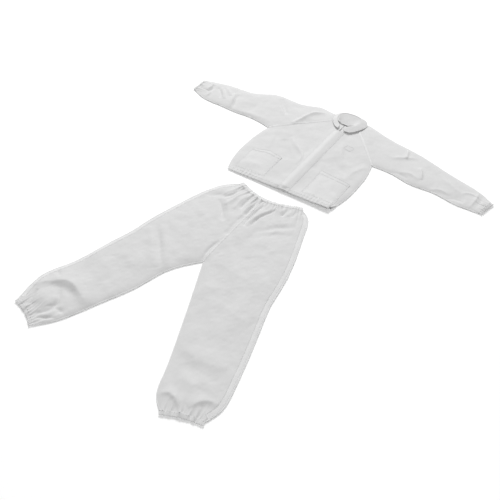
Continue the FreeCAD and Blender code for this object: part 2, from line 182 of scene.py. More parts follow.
@dataclass(frozen=True)
class HardFinish:
    """Painted metal or moulded plastic with a little wear in its gloss."""

    name: str
    shade: float
    roughness: float
    metallic: float = 0.0

    def material(self) -> bpy.types.Material:
        """Builds the material, or returns the one built before."""
        found = bpy.data.materials.get(self.name)
        if found:
            return found
        material, tree, shader = new_material(self.name)
        shader.inputs["Metallic"].default_value = self.metallic
        place = node(tree, "ShaderNodeTexCoord")
        wear = node(tree, "ShaderNodeTexNoise", Scale=900.0, Detail=3.0)
        tree.links.new(place.outputs["Object"], wear.inputs["Vector"])
        gloss = node(tree, "ShaderNodeMapRange")
        gloss.inputs["To Min"].default_value = self.roughness - 0.08
        gloss.inputs["To Max"].default_value = self.roughness + 0.1
        tree.links.new(wear.outputs["Fac"], gloss.inputs["Value"])
        tree.links.new(gloss.outputs["Result"], shader.inputs["Roughness"])
        tone = node(tree, "ShaderNodeValToRGB")
        tone.color_ramp.elements[0].color = (self.shade * 0.95,) * 3 + (1,)
        tone.color_ramp.elements[1].color = (self.shade,) * 3 + (1,)
        tree.links.new(wear.outputs["Fac"], tone.inputs["Fac"])
        tree.links.new(tone.outputs["Color"], shader.inputs["Base Color"])
        return material


@dataclass(frozen=True)
class Wardrobe:
    """Every finish that the suit uses. The inner cotton holds painted shade, and the doubled cotton, seam
    cotton and thread hold painted light.
    """

    single: ClothFinish = ClothFinish("single_cotton", 0.685)
    # Painted shade: the back layer is the same white cotton, painted darker where it lies under the front and
    # shows inside the openings.
    inside: ClothFinish = ClothFinish("inner_cotton_painted_shade", 0.66)
    # Painted light: bands, pockets, flap and collar are the same cotton painted lighter, standing in for the
    # brighter look that light gives two layers of thin cloth.
    doubled: ClothFinish = ClothFinish("doubled_cotton_painted_light", 0.715)
    # Painted light: felled seams and trims are the same cotton painted lighter still, so that they show as
    # pale lines.
    seam: ClothFinish = ClothFinish("felled_seam_cotton_painted_light", 0.755, crease_depth=0.4)
    # Painted light: the thread is painted lighter than the cloth to offset the small shadows that the
    # stitches cast.
    thread: ClothFinish = ClothFinish("sewing_thread_painted_light", 0.80, threads_per_metre=2600.0, crease_depth=0.05)
    elastic: ClothFinish = ClothFinish("covered_elastic", 0.68, warmth=0.01, threads_per_metre=1400.0)
    tape: ClothFinish = ClothFinish("zipper_tape_weave", 0.74, threads_per_metre=1600.0, crease_depth=0.05)
    coil: HardFinish = HardFinish("nylon_coil", 0.74, 0.4)
    slider: HardFinish = HardFinish("painted_slider_metal", 0.76, 0.32)


FINISHES = Wardrobe()

# ---------------------------------------------------------------- plane geometry


def spline(points: Path, spacing: float = 0.004) -> Array:
    """Smooth curve through points in the plane.

    Each coordinate is the natural cubic spline of the chord length: the second slopes at the points solve the
    usual three-term system, and each span is read from the cubic between two of them.

    Args:
        points: Points that the curve goes through.
        spacing: Distance between the samples.
    Returns:
        Samples along the curve, one row each.
    """
    knots = np.asarray(points, float)
    chord = np.concatenate([[0.0], np.cumsum(np.linalg.norm(np.diff(knots, axis=0), axis=1))])
    count = max(2, int(chord[-1] / spacing) + 1)
    t = np.linspace(0.0, chord[-1], count)
    if len(knots) == 2:
        share = (t / chord[-1])[:, None]
        return knots[0] * (1 - share) + knots[1] * share
    span = np.diff(chord)
    inner = len(knots) - 2
    system = np.zeros((inner + 2, inner + 2))
    system[0, 0] = system[-1, -1] = 1.0
    rows = np.arange(1, inner + 1)
    system[rows, rows - 1] = span[:-1]
    system[rows, rows] = 2 * (span[:-1] + span[1:])
    system[rows, rows + 1] = span[1:]
    slope = np.diff(knots, axis=0) / span[:, None]
    right = np.zeros_like(knots)
    right[1:-1] = 6 * np.diff(slope, axis=0)
    second = np.linalg.solve(system, right)
    i = np.clip(np.searchsorted(chord, t, side="right") - 1, 0, len(span) - 1)
    h = span[i][:, None]
    a = (chord[i + 1] - t)[:, None]
    b = (t - chord[i])[:, None]
    cubic = (second[i] * a**3 + second[i + 1] * b**3) / (6 * h)
    return cubic + (knots[i] / h - second[i] * h / 6) * a + (knots[i + 1] / h - second[i + 1] * h / 6) * b


def lengths(path: Array) -> Array:
    """Distance along a path at each of its points."""
    return np.concatenate([[0.0], np.cumsum(np.linalg.norm(np.diff(path, axis=0), axis=1))])


def at(path: Array, share: Array) -> Array:
    """Points at shares of a path's length, from 0 to 1."""
    s = lengths(path)
    return np.stack([np.interp(share * s[-1], s, path[:, k]) for k in range(path.shape[1])], axis=-1)


def left_of(path: Array) -> Array:
    """Unit direction to the left of a path at each of its points."""
    along = np.gradient(path[:, :2], axis=0)
    along /= np.linalg.norm(along, axis=1)[:, None] + 1e-12
    return np.stack([-along[:, 1], along[:, 0]], axis=-1)


def beside(path: Array, distance: float) -> Array:
    """The path moved to its left by a distance."""
    return path + left_of(path) * distance


def nearest(x: Array, y: Array, path: Array) -> tuple[Array, Array, Array]:
    """Where points lie beside a path.

    Args:
        x: X of the points, of any shape.
        y: Y of the points, of the same shape.
        path: Path in the plane.
    Returns:
        The distance to the path, the share of its length at the nearest place, and the side: +1 to its left.
    """
    points = np.stack([x.ravel(), y.ravel()], axis=-1)
    start, step = path[:-1], np.diff(path, axis=0)
    square = (step**2).sum(axis=1) + 1e-18
    s = lengths(path)
    parts = []
    for block in np.array_split(points, max(1, len(points) * len(step) // 4_000_000)):
        rel = block[:, None, :] - start[None]
        t = np.clip((rel * step[None]).sum(axis=2) / square, 0, 1)
        off = rel - t[..., None] * step[None]
        far = (off**2).sum(axis=2)
        k = far.argmin(axis=1)
        row = np.arange(len(block))
        share = (s[k] + t[row, k] * np.sqrt(square[k])) / s[-1]
        side = np.sign(step[k, 0] * rel[row, k, 1] - step[k, 1] * rel[row, k, 0])
        parts.append(np.stack([np.sqrt(far[row, k]), share, side]))
    distance, share, side = np.concatenate(parts, axis=1).reshape(3, *x.shape)
    return distance, share, side


def smooth_noise(x: Array, y: Array, cell: float, seed: int) -> Array:
    """Seeded random relief between -1 and 1.

    Random values stand on a square lattice, and each point takes the four round it, eased by 3t^2 - 2t^3.

    Args:
        x: X of the points.
        y: Y of the points.
        cell: Lattice spacing.
        seed: Seed of the random values.
    Returns:
        The relief at each point.
    """
    table = np.random.default_rng(seed).uniform(-1, 1, (128, 128))
    u, v = x / cell, y / cell
    i, j = np.floor(u).astype(int), np.floor(v).astype(int)
    fu, fv = u - i, v - j
    fu, fv = fu * fu * (3 - 2 * fu), fv * fv * (3 - 2 * fv)
    low = table[i % 128, j % 128] * (1 - fu) + table[(i + 1) % 128, j % 128] * fu
    high = table[i % 128, (j + 1) % 128] * (1 - fu) + table[(i + 1) % 128, (j + 1) % 128] * fu
    return low * (1 - fv) + high * fv


# ---------------------------------------------------------------- how the cloth lies


@dataclass(frozen=True)
class Fold:
    """A ridge, or a valley where the height is negative, along a curve."""

    path: Path
    height: float
    width: float
    steep: float = 1.0
    lean: float = 0.0
    crease: float = 1.5

    def lift(self, x: Array, y: Array) -> tuple[Array, Array]:
        """Height that the fold adds, and how far it pushes the cloth sideways.

        The height falls off as exp(-(d / w)^p), where w is narrower to the left of the curve if the fold is
        steep there, and it fades out as the root of a sine towards both ends.

        Args:
            x: X of the points.
            y: Y of the points.
        Returns:
            The height, and the sideways push as one more axis.
        """
        path = spline(self.path, 0.006)
        distance, share, side = nearest(x, y, path)
        width = np.where(side > 0, self.width * self.steep, self.width)
        rise = self.height * np.exp(-((distance / width) ** self.crease))
        rise = rise * np.sin(np.pi * np.clip(share, 0, 1)) ** 0.5
        way = left_of(path)[np.clip((share * (len(path) - 1)).astype(int), 0, len(path) - 1)]
        return rise, way * (self.lean * rise)[..., None]


@dataclass(frozen=True)
class Gathers:
    """Small pleats that run away from a sewn or elasticated line and die out."""

    line: Path
    spacing: float
    depth: float
    reach: float
    seed: int

    def lift(self, x: Array, y: Array) -> Array:
        """Height that the pleats add.

        A wave along the line, whose phase wanders, fades as exp(-d / r), and r differs from pleat to pleat.

        Args:
            x: X of the points.
            y: Y of the points.
        Returns:
            The height at each point.
        """
        path = spline(self.line, 0.006)
        distance, share, _ = nearest(x, y, path)
        s = share * lengths(path)[-1]
        drift = distance * 0.22 * smooth_noise(s, s * 0, self.spacing * 5, self.seed + 7)
        s = s + drift
        wander = 1.3 * smooth_noise(s, distance * 0.4, self.spacing * 2.3, self.seed)
        wave = np.sin(2 * np.pi * s / self.spacing + 2.2 * wander)
        wave = 0.65 * wave + 0.5 * np.sin(2 * np.pi * s / (self.spacing * 1.73) + 3.0 * wander + self.seed)
        reach = self.reach * (0.75 + 0.6 * smooth_noise(s, s * 0, self.spacing * 1.4, self.seed + 3))
        return self.depth * wave * np.exp(-distance / reach)


@dataclass(frozen=True)
class Mouth:
    """An opening between front and back: a run across it and the heights of the front along it.

    The tops are heights where the band meets the garment and the lips are heights at the open edge. The band
    lies beyond the run, or between the run and the garment. The back's edge is tucked in behind the front's.
    """

    line: Path
    tops: tuple[float, ...]
    flatness: float = 3.0
    beyond: bool = True
    lips: tuple[float, ...] = (0.0060,)
    tuck: float = 0.0040

    def top(self, share: Array) -> Array:
        """Height of the front cloth by share along the run: a flattened arch under the stated heights."""
        stations = np.linspace(0, 1, len(self.tops))
        arch = (1 - np.abs(np.clip(2 * share - 1, -1, 1)) ** self.flatness) ** (1 / self.flatness)
        full = np.interp(share, stations, self.tops)
        middle = full / 2
        return middle + (full - middle) * arch

    def sink(self, share: Array, out: Array) -> Array:
        """How far the band's front sinks, by shares along the run and of its width towards the lip."""
        full = np.interp(share, np.linspace(0, 1, len(self.tops)), self.tops)
        lip = np.interp(share, np.linspace(0, 1, len(self.lips)), self.lips)
        return np.maximum(full - lip, 0.0) * out**1.5


@dataclass(frozen=True)
class Level:
    """A run along which the cloth is held at one height, as it is beside the zipper and round the neck."""

    path: Path
    height: float
    reach: float
    power: float = 2.0

    def share(self, x: Array, y: Array) -> Array:
        """Share of the held height at each point: exp(-(d / r)^p)."""
        return np.exp(-((nearest(x, y, np.asarray(self.path, float))[0] / self.reach) ** self.power))


@dataclass
class Relief:
    """Height of a garment's front layer over the floor, from its seams, openings, folds and pleats."""

    seams: list[Array]
    mouths: list[Mouth]
    folds: list[Fold]
    gathers: list[Gathers]
    seed: int
    edge: float = 0.0026
    rim: float = 0.0052
    rim_reach: float = 0.011
    crown: float = 0.0048
    crown_reach: float = 0.055
    sewn_reach: float = 0.018
    mouth_reach: float = 0.028
    mouth_hold: float = 0.95
    unrest: float = 0.0011
    boldness: float = 1.5
    levels: list[Level] = field(default_factory=list)

    def front(self, x: Array, y: Array) -> tuple[Array, Array]:
        """Place of the front cloth's upper face.

        From the nearest seam the cloth rises as two saturating exponentials, a short one for the rim and a
        long one for the crown. Unrest and folds are added, towards an opening the height turns into that of
        the opening's front edge, pleats are added, and beside a level it turns into the level's height.

        Args:
            x: X in the plane.
            y: Y in the plane.
        Returns:
            The height and the sideways push.
        """
        away, free = self.freedom(x, y)
        z = self.edge + self.rim * (1 - np.exp(-away / self.rim_reach))
        z = z + self.crown * (1 - np.exp(-away / self.crown_reach))
        z += free * self.unrest * (1.7 * smooth_noise(x, y, 0.085, self.seed)
                                   + 0.9 * smooth_noise(x + 0.5 * y, y - 0.4 * x, 0.036, self.seed + 1)
                                   + 0.35 * smooth_noise(x - y, y * 0.6 + x, 0.015, self.seed + 2))
        push = np.zeros((*x.shape, 2))
        for fold in self.folds:
            rise, way = fold.lift(x, y)
            z += rise * free * self.boldness
            push += way * free[..., None] * self.boldness
        for mouth in self.mouths:
            distance, share, _ = nearest(x, y, np.asarray(mouth.line, float))
            near = np.exp(-((distance / self.mouth_reach) ** 2))
            z += (mouth.top(share) + 0.0003 - z) * near * self.mouth_hold
        z += self.pleats(x, y, free)
        for level in self.levels:
            held = level.share(x, y)
            z += (level.height - z) * held
            push *= (1 - held)[..., None]
        return np.maximum(z, self.edge), push

    def freedom(self, x: Array, y: Array) -> tuple[Array, Array]:
        """Distance to the nearest seam, and the share from 0 to 1 to which the cloth moves freely there."""
        away = np.min([nearest(x, y, seam)[0] for seam in self.seams], axis=0)
        return away, 1 - np.exp(-away / self.sewn_reach)

    def pleats(self, x: Array, y: Array, free: Array | None = None) -> Array:
        """Height that all the pleats add together, a quarter of it at the seams."""
        free = self.freedom(x, y)[1] if free is None else free
        return np.sum([gathers.lift(x, y) for gathers in self.gathers], axis=0) * (0.25 + 0.75 * free)

    def back(self, x: Array, y: Array) -> Array:
        """Height of the back cloth's upper face, which lies on the floor with faint unrest."""
        return 0.0011 + 0.0003 * (1 + smooth_noise(x, y, 0.05, self.seed + 9)) / 2


# ---------------------------------------------------------------- meshes


def mesh_piece(
    name: str, points: Array, faces: Array, cut: Array, finish: ClothFinish | HardFinish
) -> bpy.types.Object:
    """Makes an object from arrays.

    Args:
        name: Piece name.
        points: Vertex places, one row each.
        faces: Vertex numbers of the quads, or of the triangles where the last two repeat.
        cut: Each vertex's place on the cloth, in metres.
        finish: Finish of the whole piece.
    Returns:
        The object, at the origin.
    """
    mesh = bpy.data.meshes.new(name)
    mesh.from_pydata(points.tolist(), [], faces.tolist())
    mesh.polygons.foreach_set("use_smooth", np.ones(len(mesh.polygons), bool))
    corners = np.empty(len(mesh.loops), int)
    mesh.loops.foreach_get("vertex_index", corners)
    layer = mesh.uv_layers.new(name="cut")
    layer.data.foreach_set("uv", cut[corners].astype(np.float32).ravel())
    mesh.materials.append(finish.material())
    mesh.update()
    piece = bpy.data.objects.new(name, mesh)
    bpy.context.scene.collection.objects.link(piece)
    return piece


def grid_faces(index: Array) -> Array:
    """Quads between neighbouring rows and columns of a grid of vertex numbers."""
    return np.stack([index[:-1, :-1], index[:-1, 1:], index[1:, 1:], index[1:, :-1]], axis=-1).reshape(-1, 4)


def sheet_piece(
    name: str, plan: Array, upper: Array, thick: float, finish: ClothFinish, push: Array | None = None
) -> bpy.types.Object:
    """A closed sheet over a grid in the plane.

    Args:
        name: Piece name.
        plan: Grid of places in the plane, rows by columns by two.
        upper: Height of the upper face at the grid.
        thick: Thickness of the cloth.
        finish: Finish of the sheet.
        push: Sideways push at the grid.
    Returns:
        The object.
    """
    rows, columns = upper.shape
    place = plan if push is None else plan + push
    top = np.concatenate([place, upper[..., None]], axis=-1).reshape(-1, 3)
    slope = np.stack([np.gradient(top.reshape(rows, columns, 3), axis=k) for k in (0, 1)])
    normal = np.cross(slope[1], slope[0]).reshape(-1, 3)
    normal /= np.linalg.norm(normal, axis=1)[:, None] + 1e-15
    normal *= np.sign(normal[:, 2:] + 1e-12)
    blunt = np.clip(normal[:, 2:], 0.5, 1.0)
    below = top - np.array([0, 0, 1.0]) * thick / blunt
    below[:, 2] = np.maximum(below[:, 2], 0.0)
    count = rows * columns
    index = np.arange(count).reshape(rows, columns)
    upper_faces = grid_faces(index)
    across = np.cross(plan[1, 1] - plan[0, 0], plan[0, 1] - plan[1, 0]) if rows > 1 else 0.0
    if across > 0:
        upper_faces = upper_faces[:, ::-1]
    lower_faces = upper_faces[:, ::-1] + count
    rim = np.concatenate([index[0], index[1:, -1], index[-1, -2::-1], index[-2:0:-1, 0]])
    after = np.roll(rim, -1)
    sides = np.stack([rim, rim + count, after + count, after], axis=-1)
    if across <= 0:
        sides = sides[:, ::-1]
    cut = np.concatenate([plan.reshape(-1, 2)] * 2)
    faces = np.concatenate([upper_faces, lower_faces, sides])
    return outward(mesh_piece(name, np.concatenate([top, below]), faces, cut, finish))


def outward(piece: bpy.types.Object) -> bpy.types.Object:
    """Turns all of a piece's faces the same way, out of the closed shape."""
    mesh = piece.data
    points = np.empty(len(mesh.vertices) * 3)
    mesh.vertices.foreach_get("co", points)
    points = points.reshape(-1, 3)
    mesh.calc_loop_triangles()
    corners = np.empty(len(mesh.loop_triangles) * 3, int)
    mesh.loop_triangles.foreach_get("vertices", corners)
    a, b, c = points[corners.reshape(-1, 3)].transpose(1, 0, 2)
    if (np.cross(a, b) * c).sum() < 0:
        mesh.flip_normals()
    return piece


def tube_piece(
    name: str, grid: Array, cut: Array, finish: ClothFinish | HardFinish, closed: bool
) -> bpy.types.Object:
    """A tube over rings of places, joined end to end, or closed with a fan at each end.

    Args:
        name: Piece name.
        grid: Rings of places, stations by points by three.
        cut: Where each of them lies on the cloth, stations by points by two.
        finish: Finish of the piece.
        closed: Whether the last ring joins the first.
    Returns:
        The object.
    """
    rows, columns = grid.shape[:2]
    index = np.arange(rows * columns).reshape(rows, columns)
    first, last, hub = index[0], index[-1], rows * columns
    if closed:
        index = np.concatenate([index, index[:1]])
    faces = grid_faces(np.concatenate([index, index[:, :1]], axis=1))
    points, cut = grid.reshape(-1, 3), cut.reshape(-1, 2)
    if closed:
        return outward(mesh_piece(name, points, faces, cut, finish))
    caps = [
        np.stack([np.full(columns, hub), np.roll(first, -1), first], axis=-1),
        np.stack([np.full(columns, hub + 1), last, np.roll(last, -1)], axis=-1),
    ]
    mixed = np.array(faces.tolist() + np.concatenate(caps).tolist(), dtype=object)
    points = np.concatenate([points, [grid[0].mean(axis=0), grid[-1].mean(axis=0)]])
    return outward(mesh_piece(name, points, mixed, np.concatenate([cut, cut[:1], cut[-1:]]), finish))


def swept_piece(
    name: str, centre: Array, wide: Array, tall: Array, section: Array, finish: ClothFinish | HardFinish
) -> bpy.types.Object:
    """A closed section carried along a path from end to end.

    Args:
        name: Piece name.
        centre: Path, one row a station.
        wide: Direction of the section's first axis at each station, with its scale.
        tall: Direction of the section's second axis at each station, with its scale.
        section: Section's outline, one row a point.
        finish: Finish of the piece.
    Returns:
        The object.
    """
    grid = centre[:, None] + wide[:, None] * section[None, :, :1] + tall[:, None] * section[None, :, 1:]
    around = np.linalg.norm(np.diff(np.vstack([section, section[:1]]), axis=0), axis=1).cumsum()
    around = around[None] * np.linalg.norm(wide[0])
    cut = np.stack(np.broadcast_arrays(lengths(centre)[:, None], around), axis=-1)
    return tube_piece(name, grid, cut, finish, closed=False)


def rounded_section(half_width: float, half_height: float, points: int = 16, square: float = 4.0) -> Array:
    """Superellipse: each coordinate is the signed cosine or sine to the power 2 over the squareness."""
    a = np.linspace(0, 2 * np.pi, points, endpoint=False)
    c, s = np.cos(a), np.sin(a)
    return np.stack([half_width * np.sign(c) * np.abs(c) ** (2 / square),
                     half_height * np.sign(s) * np.abs(s) ** (2 / square)], axis=-1)


def join(name: str, pieces: list[bpy.types.Object]) -> bpy.types.Object:
    """Joins pieces into one named object."""
    first = pieces[0]
    if len(pieces) > 1:
        chosen = {"selected_editable_objects": pieces, "selected_objects": pieces}
        with bpy.context.temp_override(active_object=first, **chosen):
            bpy.ops.object.join()
    first.name = name
    first.data.name = name
    return first


# ---------------------------------------------------------------- how pieces are held and sewn


@dataclass(frozen=True)
class Carried:
    """A piece that moves with one CAD body, or that names a second body and stays unparented with its
    transform baked in.
    """

    body: str
    into: str | None = None
    start: tuple[float, float, float] = (0.0, 0.0, 0.0)
    end: tuple[float, float, float] = (0.0, 0.0, 0.0)

    def take(self, piece: bpy.types.Object) -> None:
        """Fastens a piece to its body, or bakes its transform where a second body is named."""
        if self.into is None:
            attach(piece, self.body)
        else:
            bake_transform(piece)


def settle(piece: bpy.types.Object, carried: Carried, slot: str, *nodes: str) -> bpy.types.Object:
    """Fastens a finished piece and hides the CAD nodes that it stands for.

    Args:
        piece: The finished piece.
        carried: What it moves with.
        slot: Not used.
        nodes: CAD nodes that it replaces.
    Returns:
        The piece.
    """
    carried.take(piece)
    if nodes:
        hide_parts(*nodes)
    LOG.info("%s: %d faces", piece.name, len(piece.data.polygons))
    return piece


def stitch_row(
    name: str, path: Array, pitch: float = 0.0036, length: float = 0.0025, half: float = 0.00026
) -> bpy.types.Object:
    """A row of stitches along a path in space.

    Each stitch is a spindle: three rings of four points between two tips, as wide as a thread in the middle.

    Args:
        name: Piece name.
        path: Path, one row a point.
        pitch: Distance from one stitch to the next.
        length: Length of a stitch.
        half: Half thickness of the thread.
    Returns:
        The object.
    """
    total = lengths(path)[-1]
    count = max(2, int(total / pitch))
    share = (np.arange(count) + 0.5) / count
    middle = at(path, share)
    step = 0.5 * pitch / total
    along = at(path, np.clip(share + step, 0, 1)) - at(path, np.clip(share - step, 0, 1))
    along /= np.linalg.norm(along, axis=1)[:, None] + 1e-12
    side = np.cross(along, np.array([0, 0, 1.0]))
    side /= np.linalg.norm(side, axis=1)[:, None] + 1e-12
    up = np.cross(side, along)
    turn = np.arange(4) * np.pi / 2
    rings = [(t, r, a) for t, r in ((-0.32, 0.8), (0.0, 1.0), (0.32, 0.8)) for a in turn]
    belly = [(t, r * math.cos(a), r * math.sin(a)) for t, r, a in rings]
    local = np.array([(-0.5, 0.0, 0.0), *belly, (0.5, 0.0, 0.0)])
    points = (middle[:, None] + along[:, None] * local[None, :, :1] * length
              + side[:, None] * local[None, :, 1:2] * half * 1.3 + up[:, None] * local[None, :, 2:] * half)
    ring = 1 + np.arange(12).reshape(3, 4)
    after = np.roll(ring, -1, axis=1)
    quads = np.stack([ring[:-1], after[:-1], after[1:], ring[1:]], axis=-1).reshape(-1, 4)
    tips = np.concatenate([np.stack([0 * ring[0], after[0], ring[0]], axis=-1),
                           np.stack([0 * ring[2] + 13, ring[2], after[2]], axis=-1)])
    offsets = (np.arange(count) * len(local))[:, None, None]
    faces = (quads + offsets).reshape(-1, 4).tolist() + (tips + offsets).reshape(-1, 3).tolist()
    flat = points.reshape(-1, 3)
    return outward(mesh_piece(name, flat, np.array(faces, dtype=object), flat[:, :2], FINISHES.thread))


@dataclass(frozen=True)
class Band:
    """Cut of a gathered band: width, height and spacing of its gathers, and places of its stitches."""

    width: float
    ruffle: float
    pitch: float
    rows: tuple[float, ...] = ()
    over: float = 0.0


@dataclass
class Garment:
    """What the jacket and the trousers share: a relief and ways to lay seams and stitches on it."""

    relief: Relief
    lap: float = 0.0025
    wall: float = 0.0026
    elastic_inset: float = 0.0009

    def on_front(self, path: Array, over: float) -> Array:
        """A path in the plane carried up onto the front cloth, and a little over it."""
        z, push = self.relief.front(path[:, 0], path[:, 1])
        return np.column_stack([path + push, z + over])

    def trim(
        self, name: str, path: Array, width: float, thick: float, finish: ClothFinish
    ) -> bpy.types.Object:
        """A strip of cloth sewn along a path on the front: a grid across the strip, on the relief."""
        edges = np.linspace(-width / 2, width / 2, 7)
        plan = path[:, None] + left_of(path)[:, None] * edges[None, :, None]
        z, push = self.relief.front(plan[..., 0], plan[..., 1])
        puff = thick * (1 - 0.45 * (np.abs(edges) / (width / 2)) ** 4)
        return sheet_piece(name, plan, z + puff[None], thick + 0.0003, finish, push)

    def edge_roll(self, name: str, path: Array, inward: int) -> bpy.types.Object:
        """The turned seam where front and back meet: a small rounded section along the edge."""
        path = at(path, np.linspace(0, 1, max(4, int(lengths(path)[-1] / 0.005))))
        swell = 1 + 0.25 * smooth_noise(path[:, 0], path[:, 1], 0.02, 5)
        side = left_of(path) * inward
        centre = np.column_stack([path + side * 0.0022, np.full(len(path), 0.0025)])
        wide = np.column_stack([side * swell[:, None], np.zeros(len(path))])
        tall = np.column_stack([np.zeros((len(path), 2)), swell])
        return swept_piece(name, centre, wide, tall, rounded_section(0.0026, 0.0019, 10, 2.4), FINISHES.seam)

    def casing(
        self, name: str, mouth: Mouth, cut: Band, finish: ClothFinish,
        arc: Point | None = None, inset: float = 0.0
    ) -> bpy.types.Object:
        """A gathered band round an opening.

        The band's middle follows a flattened arch over the opening's run and back under it. Its wall is a
        squarish section, as wide as the band and its lap under the cloth, that waves in and out with the
        gathers, most at its edges. The front follows the pleats and sinks to the lips, and the back is tucked
        in. The sections are put across the arch, and the waves are added along its normal.

        Args:
            name: Piece name.
            mouth: The opening.
            cut: Cut of the band, whose width is measured to the left of the run.
            finish: Finish of the band.
            arc: First and last turn round the opening, in radians, where the band is cut open.
            inset: Distance that the band is drawn in on every side, for an elastic inside another band.
        Returns:
            The object.
        """
        width, ruffle, pitch, thick = cut.width, cut.ruffle, cut.pitch, self.wall
        line = np.asarray(mouth.line, float)
        run = lengths(line)[-1]
        low, high = arc or (0.0, 2 * np.pi)
        stations = int(2 * run * (high - low) / (2 * np.pi) / 0.0022)
        turn = np.linspace(low, high, stations, endpoint=arc is not None)
        c, s = np.cos(turn), np.sin(turn)
        power = 2 / mouth.flatness
        share = np.clip((1 - np.sign(c) * np.abs(c) ** power) / 2, 0.0, 1.0)
        full = np.interp(share, np.linspace(0, 1, len(mouth.tops)), mouth.tops)
        half = (full - thick) / 2
        rise = np.sign(s) * np.abs(s) ** power
        height = full / 2 + half * rise
        place = at(line, share * (1 - 2 * thick / run) + thick / run)
        side = at(left_of(line), share)
        side /= np.linalg.norm(side, axis=1)[:, None]
        along = np.column_stack([place, height])
        tangent = np.roll(along, -1, axis=0) - np.roll(along, 1, axis=0)
        tangent[0], tangent[-1] = along[1] - along[0], along[-1] - along[-2]
        wide = np.column_stack([side, np.zeros(len(side))])
        normal = np.cross(tangent, wide)
        normal /= np.linalg.norm(normal, axis=1)[:, None] + 1e-12
        normal *= np.sign((normal[:, 2] * (height - full / 2)).sum() + 1e-9)
        scallop = 0.5 * ruffle * smooth_noise(lengths(along), 0 * along[:, 0], pitch * 0.8, 27)
        towards = 1 if mouth.beyond else -1
        centre = along + wide * (width / 2 - towards * self.lap / 2 + scallop)[:, None]
        section = rounded_section((width + self.lap) / 2 - inset, thick / 2 - inset * 0.55, 20, 5.0)
        grid = centre[:, None] + wide[:, None] * section[None, :, :1] + normal[:, None] * section[None, :, 1:]
        s_along = lengths(along)
        wander = smooth_noise(s_along, s_along * 0, pitch * 2.5, 21)
        wave = np.sin(2 * np.pi * np.round(s_along[-1] / pitch) * s_along / s_along[-1] + 1.6 * wander)
        rest = np.clip(0.35 + 0.65 * rise, 0.15, 1.0)
        spread = 0.35 + 0.65 * (np.abs(section[:, 0]) / (width / 2)) ** 2
        grid += normal[:, None] * (ruffle * wave * rest)[:, None, None] * spread[None, :, None]
        out = np.clip(0.5 + (towards * section[:, 0] - self.lap / 2) / width, 0, 1)[None]
        front, rear = np.clip(rise, 0, 1)[:, None], np.clip(-rise, 0, 1)[:, None]
        grid[..., 2] += (self.relief.pleats(grid[..., 0], grid[..., 1]) * (1 - 0.5 * out)
                         - mouth.sink(share[:, None], out)) * front
        grid -= wide[:, None] * (towards * mouth.tuck * rear * out)[..., None]
        grid[..., 2] = np.maximum(grid[..., 2], 0.0001 + inset * 0.5)
        on_cloth = np.stack(np.broadcast_arrays(s_along[:, None], section[None, :, 0]), axis=-1)
        return tube_piece(name, grid, on_cloth, finish, closed=arc is None)

    def edging(
        self, name: str, mouth: Mouth, cut: Band, carried: Carried, band: str = "", node_name: str = ""
    ) -> None:
        """Band, elastic and rows of stitches of an opening.

        Args:
            name: What the pieces are named after.
            mouth: The opening.
            cut: Cut of the band.
            carried: What it moves with.
            band: Name of the band, where it isn't the usual one.
            node_name: CAD node of the band, where it isn't the usual one.
        """
        cover = self.casing(band or f"{name}_band", mouth, cut, FINISHES.doubled)
        settle(cover, carried, "doubled_cloth", node_name or f"{name}_casing")
        elastic = self.casing(f"{name}_elastic_band", mouth, cut, FINISHES.elastic, inset=self.elastic_inset)
        settle(elastic, carried, "elastic", f"{name}_elastic")
        line = np.asarray(mouth.line, float)
        share = np.linspace(0.04, 0.96, 60)
        rows = []
        for k, distance in enumerate(cut.rows):
            place = at(line, share) + at(left_of(line), share) * distance
            out = distance / cut.width if mouth.beyond else 1 - distance / cut.width
            pleats = self.relief.pleats(place[:, 0], place[:, 1]) * (1 - 0.5 * out)
            path = np.column_stack([place, mouth.top(share) - mouth.sink(share, out) + pleats + cut.over])
            rows.append(stitch_row(f"{name}_row_{k}", path))
        settle(join(f"{name}_stitching", rows), carried, "seam_cloth")

    def layers(
        self, name: str, plans: tuple[Array, Array], flat: Point, carried: Carried, *parts: str
    ) -> None:
        """Front and back cloth of a limb.

        Args:
            name: What the two sheets are named after.
            plans: Fine grid of the front and coarse grid of the back.
            flat: Size of the cut, not used.
            carried: What they move with.
            parts: What the CAD nodes are named after.
        """
        fine, coarse = plans
        z, push = self.relief.front(fine[..., 0], fine[..., 1])
        front = sheet_piece(f"{name}_front_cloth", fine, z, CLOTH, FINISHES.single, push)
        settle(front, carried, "suit_cloth", *(f"{part}_front" for part in parts))
        z = self.relief.back(coarse[..., 0], coarse[..., 1])
        back = sheet_piece(f"{name}_back_cloth", coarse, z, CLOTH, FINISHES.inside)
        settle(back, carried, "suit_cloth", *(f"{part}_back" for part in parts))

    def twin_rows(self, name: str, path: Array, apart: float, over: float) -> list[bpy.types.Object]:
        """Two rows of stitches, each that far to one side of a path on the front."""
        places = enumerate((-apart, apart))
        return [stitch_row(f"{name}_row_{k}", self.on_front(beside(path, d), over)) for k, d in places]


# ---------------------------------------------------------------- cutting the cloth


@dataclass(frozen=True)
class Limb:
    """Cut of a sleeve or leg: a straight line and the widths on both sides of it by share of its length."""

    root: Point
    heading: float
    length: float
    widths: tuple[tuple[float, float, float], ...]
    side: Side

    def edges(self) -> tuple[list[Point], list[Point]]:
        """Points of the outer and the inner edge: the line's point plus or minus width times normal."""
        turn = math.radians(self.heading)
        along = np.array([math.cos(turn), math.sin(turn)])
        out = np.array([-along[1], along[0]]) * self.side.sign
        share, outer, inner = np.array(self.widths).T
        middle = np.array(self.root) + along * (share * self.length)[:, None]
        return (middle + out * outer[:, None]).tolist(), (middle - out * inner[:, None]).tolist()


